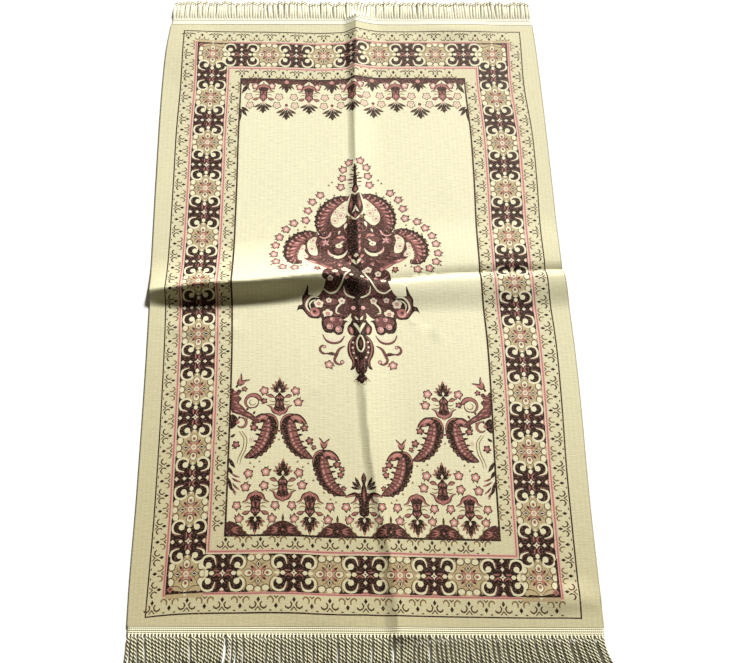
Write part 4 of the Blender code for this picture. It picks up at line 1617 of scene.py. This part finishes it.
@dataclass
class MeshParts:
    """A mesh while it is put together: points, faces, and for each face corner a map place."""

    name: str
    points: list[tuple[float, float, float]] = field(default_factory=list)
    faces: list[tuple[int, ...]] = field(default_factory=list)
    corners: list[tuple[float, float]] = field(default_factory=list)

    def face(self, points: tuple[int, ...], places: tuple[tuple[float, float], ...]) -> None:
        """Add one face, with the map place of each of its corners."""
        self.faces.append(points)
        self.corners.extend(places)

    def piece(self, material: bpy.types.Material, map_name: str) -> bpy.types.Object:
        """Make the object, smooth, with its map.

        Args:
            material: Its finish.
            map_name: The name of its UV map.

        Returns:
            The object.
        """
        mesh = bpy.data.meshes.new(self.name)
        mesh.from_pydata(self.points, [], self.faces)
        mesh.uv_layers.new(name=map_name).data.foreach_set("uv", np.array(self.corners, np.float32).ravel())
        mesh.materials.append(material)
        mesh.update()
        made = bpy.data.objects.new(self.name, mesh)
        bpy.context.scene.collection.objects.link(made)
        bpy.ops.object.select_all(action="DESELECT")
        made.select_set(True)
        bpy.context.view_layer.objects.active = made
        bpy.ops.object.shade_smooth()
        return made


@dataclass
class Cloth:
    """The woven sheet: the whole drawing as one mesh, laid over the folds, and its plain underside."""

    lie: Lie
    finish: WovenPile
    half_width: float = 344.0
    half_length: float = 548.0
    spans_across: tuple[tuple[float, float, int], ...] = ((-344, -24, 20), (-24, 72, 24), (72, 344, 17))
    spans_along: tuple[tuple[float, float, int], ...] = ((-548, -80, 28), (-80, 132, 64), (132, 548, 25))
    under_step: int = 2
    longest_edge: float = 5.0

    def divided(self, outline: Outline) -> Outline:
        """Cut an outline's long edges where they cross the grid, so that they follow the folds."""
        cut = []
        for k, here in enumerate(outline):
            there = outline[(k + 1) % len(outline)]
            cut.append(here)
            way = there - here
            if abs(way) < self.longest_edge:
                continue
            upright = abs(way.imag) > abs(way.real)
            start, run = (here.imag, way.imag) if upright else (here.real, way.real)
            spans = self.spans_along if upright else self.spans_across
            shares = sorted((place - start) / run for place in self.lines(spans))
            cut += [here + way * share for share in shares if 0.4 < share * abs(way) < abs(way) - 0.4]
        return cut

    @staticmethod
    def lines(spans: tuple[tuple[float, float, int], ...]) -> list[float]:
        """The places of grid lines in spans, each with its number of steps."""
        places = [spans[0][0]]
        for start, end, steps in spans:
            places += [start + (end - start) * k / steps for k in range(1, steps + 1)]
        return places

    def build(self) -> bpy.types.Object:
        """Mesh the drawing, lay it, close it with its underside, and finish it."""
        across, along_lines = self.lines(self.spans_across), self.lines(self.spans_along)
        rim = ([(u, -self.half_length) for u in across[:-1]] + [(self.half_width, v)
            for v in along_lines[:-1]] + [(u, self.half_length) for u in reversed(across[1:])]
            + [(-self.half_width, v) for v in reversed(along_lines[1:])])
        patches = Rug().patches
        top, top_faces, sources = self.meshed(rim, [self.divided(outline) for _, outline in patches],
            [(u, v) for u in across[1:-1] for v in along_lines[1:-1]])
        loop = self.rim_of(top_faces)
        under, under_faces, _ = self.meshed([tuple(top[i]) for i in loop], [],
            [(u, v) for u in across[2:-2 : self.under_step] for v in along_lines[2:-2 : self.under_step]])
        # The underside's rim points are the loop's own, in its order.
        log.info("cloth: %d points and %d triangles on the face", len(top), len(top_faces))
        flat = np.vstack([top, under])
        x, y = self.lie.place(flat[:, 0], flat[:, 1])
        low = self.lie.gap(x, y)
        count = len(top)
        z = low + np.where(np.arange(len(flat)) < count, CLOTH_THICKNESS, 0.0)
        sides = []
        size = len(loop)
        for k in range(size):
            here, there = loop[k], loop[(k + 1) % size]
            low_here, low_there = count + k, count + (k + 1) % size
            sides += [(here, low_here, low_there), (here, low_there, there)]
        faces = np.vstack([top_faces, under_faces[:, ::-1] + count, np.array(sides)])
        yarns = [MARGIN] + [yarn for yarn, _ in patches]
        shades = np.array([linear(yarn.value) for yarn in yarns] + [linear(REVERSE.value)], np.float32)
        source = np.full(len(faces), len(yarns))
        source[: len(top_faces)] = sources
        return self.finished(np.column_stack([x, y, z]), faces, flat, shades[source], count)

    def meshed(self, rim: list[tuple[float, float]], outlines: list[Outline],
            inner: list[tuple[float, float]]) -> tuple[np.ndarray, np.ndarray, np.ndarray]:
        """Divide the flat cloth into triangles along every outline.

        Args:
            rim: The cloth's own outline.
            outlines: The outlines of the drawing's patches.
            inner: More points inside the rim.

        Returns:
            The points, the triangles, and for each triangle the number of the patch on top, 0 for none.
        """
        points = [Vector(p) for p in rim]
        loops = [list(range(len(points)))]
        for outline in outlines:
            loops.append(list(range(len(points), len(points) + len(outline))))
            points += [Vector((z.real, z.imag)) for z in anticlockwise(outline)]
        points += [Vector(p) for p in inner]
        made = delaunay_2d_cdt(points, [], loops, 1, 1e-7, True)
        verts, faces, owners = made[0], made[2], made[5]
        return (np.array([tuple(v) for v in verts]), np.array(faces),
            np.array([max(owner) for owner in owners]))

    @staticmethod
    def rim_of(faces: np.ndarray) -> list[int]:
        """The points of a triangulation's open edge, in order."""
        sides = Counter()
        following = {}
        for face in faces.tolist():
            for a, b in ((face[0], face[1]), (face[1], face[2]), (face[2], face[0])):
                sides[frozenset((a, b))] += 1
                following.setdefault(a, []).append(b)
        start = next(a for a in following for b in following[a] if sides[frozenset((a, b))] == 1)
        loop = [start]
        while True:
            here = loop[-1]
            there = next(b for b in following[here] if sides[frozenset((here, b))] == 1)
            if there == start:
                return loop
            loop.append(there)

    def finished(self, places: np.ndarray, faces: np.ndarray, flat: np.ndarray, shades: np.ndarray,
            face_count: int) -> bpy.types.Object:
        """Make the cloth's object, with its yarn colours, its maps and its smooth normals.

        Args:
            places: Each point's place, in metres.
            faces: The triangles.
            flat: Each point's place on the flat rug, in millimetres.
            shades: Each triangle's colour.
            face_count: How many points belong to the face.

        Returns:
            The object.
        """
        mesh = bpy.data.meshes.new("cloth")
        mesh.from_pydata(places.tolist(), [], faces.tolist())
        corners = faces.ravel()
        colours = mesh.color_attributes.new("yarn", "FLOAT_COLOR", "CORNER")
        colours.data.foreach_set("color", np.repeat(shades, 3, axis=0).ravel())
        lying = (flat * MM)[corners].astype(np.float32)
        mesh.uv_layers.new(name="flat").data.foreach_set("uv", lying.ravel())
        # The bake map: the face from above, and the underside and rim in a narrow strip beside it
        across, along_rug = (flat[:, 0] / self.half_width + 1) / 2, (flat[:, 1] / self.half_length + 1) / 2
        upper = np.column_stack([0.005 + 0.94 * across, 0.005 + 0.99 * along_rug])
        lower = np.column_stack([0.955 + 0.04 * across, upper[:, 1]])
        on_face = (faces < face_count).all(axis=1).repeat(3)
        bake = np.where(on_face[:, None], upper[corners], lower[corners])
        mesh.uv_layers.new(name="OFBake").data.foreach_set("uv", bake.astype(np.float32).ravel())
        normals = self.lie.normals(places[:, 0], places[:, 1])
        normals[face_count:] *= -1
        mesh.materials.append(self.finish.material())
        mesh.update()
        piece = bpy.data.objects.new("cloth", mesh)
        bpy.context.scene.collection.objects.link(piece)
        mesh.polygons.foreach_set("use_smooth", np.ones(len(faces), bool))
        mesh.normals_split_custom_set_from_vertices(normals.tolist())
        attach(piece, BODY)
        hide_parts(Node.CLOTH.value)
        return piece


@dataclass
class Heading:
    """A ribbed tape across one end of the cloth, direction -1 at the near end and 1 at the far end."""

    lie: Lie
    finish: WovenTape
    direction: int
    depth: float
    seam_gap: float = 0.0003
    thickness: float = 0.0028
    steps: int = 180
    # Across the tape: how far out, as a share of its depth, and how high, as a share of its thickness
    section: tuple[tuple[float, float], ...] = ((0.0, 0.0), (0.0, 0.75), (0.06, 0.95), (0.17, 1.0),
        (0.24, 0.78), (0.31, 1.0), (0.44, 1.0), (0.52, 0.8), (0.60, 0.98), (0.80, 1.0), (0.94, 0.9),
        (1.0, 0.6), (1.0, 0.0))

    @property
    def inner_y(self) -> float:
        """Y of the tape's edge at the cloth."""
        return self.direction * (HALF_LENGTH + self.seam_gap)

    @property
    def outer_y(self) -> float:
        """Y of the tape's edge at the cords."""
        return self.inner_y + self.direction * self.depth

    def build(self) -> bpy.types.Object:
        """Sweep the section across the rug, over the crease, and close its ends."""
        name = "heading_near" if self.direction < 0 else "heading_far"
        parts = MeshParts(name)
        shares = np.linspace(0.0, 1.0, self.steps + 1)
        rings = len(self.section)
        for share in shares:
            for out, height in self.section:
                y = np.array([self.inner_y + self.direction * self.depth * out])
                left, right = self.lie.side_edge(y, -1), self.lie.side_edge(y, 1)
                x = left + (right - left) * share
                z = self.lie.gap(x, y) + self.thickness * height
                parts.points.append((float(x[0]), float(y[0]), float(z[0])))
        width = 2 * HALF_WIDTH
        for k in range(self.steps):
            for r in range(rings):
                s = (r + 1) % rings
                corners = (k * rings + r, (k + 1) * rings + r, (k + 1) * rings + s, k * rings + s)
                places = tuple((width * shares[i // rings], self.depth * self.section[i % rings][0])
                    for i in corners)
                if self.direction < 0:
                    corners, places = corners[::-1], places[::-1]
                parts.face(corners, places)
        for k in (0, self.steps):
            corners = tuple(k * rings + r for r in range(rings))
            if (k == 0) == (self.direction < 0):
                corners = corners[::-1]
            parts.face(corners, tuple((width * shares[k], self.depth * self.section[i % rings][0])
                for i in corners))
        piece = parts.piece(self.finish.material(), "flat")
        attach(piece, BODY)
        return piece


class LeanStation(NamedTuple):
    """How far cords lean to the right over their length at one place across the rug, in metres."""

    x: float
    lean: float


# The far cords' stops, as in Fringe: they leave the tape as flat bunches
FAR_STOPS = ((0.0, 0.42, 1.0), (0.06, 0.55, 1.0), (0.15, 0.7, 0.6), (0.30, 1.0, 0.2), (0.55, 1.0, 0.05),
    (0.75, 0.95, 0.02), (0.93, 0.85, 0.0), (1.0, 0.55, 0.0))


@dataclass
class Fringe:
    """The row of twisted cords that leave one heading and lie on the floor."""

    heading: Heading
    finish: TwistedCotton
    node: Node
    leans: tuple[LeanStation, ...]
    seed: int
    tip_y: float = 0.595
    cords: int = 136
    shortest: float = 0.84
    root_inset: float = 0.0030
    plain_until: float = 0.11
    radius: float = 0.0022
    ply_mm: float = 5.2
    sides: int = 7
    # The least half width of its start, as a share of its radius, and True where it starts inside the tape
    root_share: float = 0.0
    sunk: bool = False
    # Along a cord: the share of its length, its radius as a share, and its height off the floor as one
    # of the heading's height
    stops: tuple[tuple[float, float, float], ...] = ((0.0, 0.42, 1.02), (0.05, 0.52, 1.10),
        (0.11, 0.62, 0.86), (0.17, 1.0, 0.5), (0.30, 1.0, 0.2), (0.55, 1.0, 0.05), (0.75, 0.95, 0.02),
        (0.93, 0.85, 0.0), (1.0, 0.55, 0.0))

    def build(self) -> bpy.types.Object:
        """Grow every cord from the heading, each with its own lean, bend and length."""
        draw = random.Random(self.seed)
        heading = self.heading
        parts = MeshParts(f"cords_{'near' if heading.direction < 0 else 'far'}")
        outer = np.array([heading.outer_y])
        left, right = (float(heading.lie.side_edge(outer, side)[0]) for side in (-1, 1))
        pitch = (right - left) / self.cords
        start = heading.outer_y - heading.direction * self.root_inset
        reach = self.tip_y - abs(start)
        for k in range(self.cords):
            x = left + (k + 0.5) * pitch
            lean = float(heading.lie.read(self.leans, "lean", np.array([x]))[0])
            lean += 0.0016 * math.sin(x / 0.011 + self.seed) + draw.gauss(0, 0.0007)
            bend = draw.gauss(0, 0.0011)
            length = reach * (self.shortest + (1 - self.shortest) * draw.random())
            self.grow(parts, (x, start), length, lean, bend, 0.0012 * draw.random())
        piece = parts.piece(self.finish.material(), "twist")
        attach(piece, BODY)
        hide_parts(self.node.value)
        return piece

    def grow(self, parts: MeshParts, root: tuple[float, float], length: float, lean: float, bend: float,
            lift: float) -> None:
        """Grow one cord.

        Args:
            parts: The mesh to grow it in.
            root: Where it starts, on the heading.
            length: How far out it reaches.
            lean: How far its tip lies to the right of its root.
            bend: How far its middle bows to the right.
            lift: How far it rides up on its neighbours.
        """
        heading = self.heading
        gap = float(heading.lie.gap(np.array([root[0]]), np.array([root[1]]))[0])
        at_root = gap + heading.thickness
        first = len(parts.points)
        twist = root[0] * 900
        for share, thick, height in self.stops:
            x = root[0] + lean * share**1.5 + bend * 4 * share * (1 - share)
            y = root[1] + heading.direction * length * share
            radius = self.radius * thick
            half_width = self.radius * (thick if share > 0.2 else max(thick, self.root_share))
            if self.sunk:
                z = gap * height + radius + 0.15 * heading.thickness * (1 - share)
            else:
                z = at_root * height + radius * (0.2 if height > 1 else 1.0)
            z += lift * share
            for side in range(self.sides):
                angle = 2 * math.pi * side / self.sides
                parts.points.append((x + half_width * math.cos(angle), y, z + radius * math.sin(angle)))
        turns = length / (self.ply_mm * MM)
        for ring in range(len(self.stops) - 1):
            for side in range(self.sides):
                around = (side, side + 1, side + 1, side)
                rings = (ring, ring, ring + 1, ring + 1)
                corners = tuple(first + r * self.sides + s % self.sides for r, s in zip(rings, around))
                if self.stops[ring + 1][0] <= self.plain_until:
                    # The plain stretch is light all round: the untwisted start, and on the far cords most of
                    # their length, as painted full light.
                    places = ((0.5, 0.0),) * 4
                else:
                    lengths = [self.stops[r][0] * turns for r in rings]
                    places = tuple((2 * s / self.sides + twist, v) for s, v in zip(around, lengths))
                if heading.direction > 0:
                    corners, places = corners[::-1], places[::-1]
                parts.face(corners, places)
        for ring in (0, len(self.stops) - 1):
            corners = tuple(first + ring * self.sides + s for s in range(self.sides))
            if (ring == 0) == (heading.direction < 0):
                corners = corners[::-1]
            parts.face(corners, tuple((twist, self.stops[ring][0] * turns) for _ in corners))


@dataclass
class SideStitching:
    """The overcast thread that binds one side edge of the cloth, side -1 at the left and 1 at the right."""

    lie: Lie
    finish: TwistedCotton
    side: int
    stitch: float = 0.0032
    radius: float = 0.0017
    # Along one stitch: the share of its length and its radius as a share
    swell: tuple[tuple[float, float], ...] = ((0.0, 0.78), (0.35, 1.0), (0.7, 1.0))
    sides: int = 7

    def build(self) -> bpy.types.Object:
        """Wind the thread along the edge from end to end."""
        parts = MeshParts(f"side_stitching_{'left' if self.side < 0 else 'right'}")
        draw = random.Random(self.side)
        count = round(2 * HALF_LENGTH / self.stitch)
        stops = [((k + share) / count, swell) for k in range(count) for share, swell in self.swell]
        stops.append((1.0, self.swell[0][1]))
        y = np.array([-HALF_LENGTH + 2 * HALF_LENGTH * share for share, _ in stops])
        x = self.lie.side_edge(y, self.side)
        z = self.lie.gap(x, y) + CLOTH_THICKNESS / 2
        for here_x, here_y, here_z, (_, swell) in zip(x, y, z, stops):
            radius = self.radius * swell * (1 + 0.06 * draw.random())
            for s in range(self.sides):
                angle = 2 * math.pi * s / self.sides
                dx, dz = radius * math.cos(angle), 1.02 * radius * math.sin(angle)
                parts.points.append((here_x + dx, here_y, max(here_z + dz, 0.0001)))
        for ring in range(len(stops) - 1):
            for s in range(self.sides):
                around, rings = (s, s, s + 1, s + 1), (ring, ring + 1, ring + 1, ring)
                parts.face(tuple(r * self.sides + a % self.sides for r, a in zip(rings, around)),
                    tuple((a / self.sides, stops[r][0] * count) for r, a in zip(rings, around)))
        for ring in (0, len(stops) - 1):
            corners = tuple(ring * self.sides + s for s in range(self.sides))
            parts.face(corners if ring == 0 else corners[::-1], tuple((0.0, stops[ring][0]) for _ in corners))
        piece = parts.piece(self.finish.material(), "twist")
        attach(piece, BODY)
        return piece


# --- The floor, the light and the camera ---


@dataclass
class Studio:
    """A pale floor, one soft key light from the far right, an even fill, and the camera."""

    floor_size: float = 9.0
    floor_drop: float = 0.0004
    key_from: tuple[float, float, float] = (0.42, 1.0, 0.68)
    key_strength: float = 6.0
    key_angle: float = 9.0
    fill_strength: float = 0.09
    fill_colour: str = "#fff4d0"
    lens_mm: float = 43.90
    frame_shift: float = 0.083
    camera_at: tuple[float, float, float] = (-0.0713, -0.6357, 1.3774)
    camera_way: tuple[float, float, float] = (-0.0013, 0.3739, -0.9275)

    def build(self) -> bpy.types.Object:
        """Set all of it up, and return the floor."""
        self.light()
        self.camera()
        bpy.ops.object.select_all(action="DESELECT")
        bpy.ops.mesh.primitive_plane_add(size=self.floor_size, location=(0, 0, -self.floor_drop))
        floor = bpy.context.object
        floor.name = "floor"
        bpy.ops.object.transform_apply(location=True, rotation=True, scale=True)
        floor.data.materials.append(PaleFloor("matt white painted board", 0.9).material())
        return floor

    def light(self) -> None:
        """The key light and the even fill."""
        key = bpy.data.lights.new("key", "SUN")
        key.energy = self.key_strength
        key.angle = math.radians(self.key_angle)
        key.color = linear("#ffffff")[:3]
        lamp = bpy.data.objects.new("key", key)
        lamp.rotation_mode = "QUATERNION"
        lamp.rotation_quaternion = Vector(self.key_from).to_track_quat("Z", "Y")
        bpy.context.scene.collection.objects.link(lamp)
        world = bpy.data.worlds.new("even fill")
        world.use_nodes = True
        background = world.node_tree.nodes["Background"]
        background.inputs["Color"].default_value = linear(self.fill_colour)
        background.inputs["Strength"].default_value = self.fill_strength
        bpy.context.scene.world = world

    def camera(self) -> None:
        """The camera at the photograph's place."""
        lens = bpy.data.cameras.new("camera")
        lens.sensor_width = 36.0
        lens.lens = self.lens_mm
        lens.shift_x = self.frame_shift
        camera = bpy.data.objects.new("camera", lens)
        camera.location = self.camera_at
        camera.rotation_mode = "QUATERNION"
        camera.rotation_quaternion = Vector(self.camera_way).to_track_quat("-Z", "Y")
        bpy.context.scene.collection.objects.link(camera)
        bpy.context.scene.camera = camera
        bpy.context.scene.view_settings.view_transform = "Standard"


NEAR_LEANS = tuple(LeanStation(*row) for row in ((-0.345, -0.006), (-0.325, 0.002), (-0.290, 0.003),
    (-0.200, -0.001), (-0.060, 0.001), (0.050, -0.002), (0.130, 0.003), (0.200, 0.004), (0.290, 0.010),
    (0.345, 0.013)))
FAR_LEANS = tuple(LeanStation(*row) for row in ((-0.345, 0.002), (-0.100, -0.002), (0.050, 0.001),
    (0.200, -0.001), (0.345, 0.001)))


def main() -> None:
    """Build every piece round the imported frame."""
    logging.basicConfig(level=logging.INFO, format="%(name)s: %(message)s")
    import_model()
    floor = Studio().build()
    lie = Lie()
    cloth = Cloth(lie, WovenPile("jacquard-woven chenille", 0.60)).build()
    log.info("cloth laid")
    # The near tape and cords are copies of one tape and one cord in painted shade. The far ones are copies in
    # painted full light.
    near_heading = Heading(lie, WovenTape("ribbed cotton tape, worn", 0.85), -1, 0.012)
    far_heading = Heading(lie, WovenTape("ribbed cotton tape, painted_full_light", 0.85, "#fffdea", "#efe9cd"), 1,
        0.016)
    near_cords = TwistedCotton("two-ply twisted cotton, worn", 0.8)
    far_cords = TwistedCotton("two-ply twisted cotton, painted_full_light", 0.8, "#fffae0", "#7f7650")
    trims = []
    # Over most of their length the far cords are drawn plain and light, without the painted groove shade, as
    # painted full light.
    for heading, fringe in ((near_heading, Fringe(near_heading, near_cords, Node.NEAR_FRINGE, NEAR_LEANS, 4)),
            (far_heading, Fringe(far_heading, far_cords, Node.FAR_FRINGE, FAR_LEANS, 6, plain_until=0.76,
            radius=0.0026, root_share=0.98, sunk=True, stops=FAR_STOPS))):
        trims += [heading.build(), fringe.build()]
        log.info("%s built", trims[-1].name)
    edging = TwistedCotton("overcast cotton thread", 0.85, light="#c9c1a0", groove="#8d8464")
    for side in (-1, 1):
        trims.append(SideStitching(lie, edging, side).build())
        log.info("%s built", trims[-1].name)


if __name__ == "__main__":
    main()
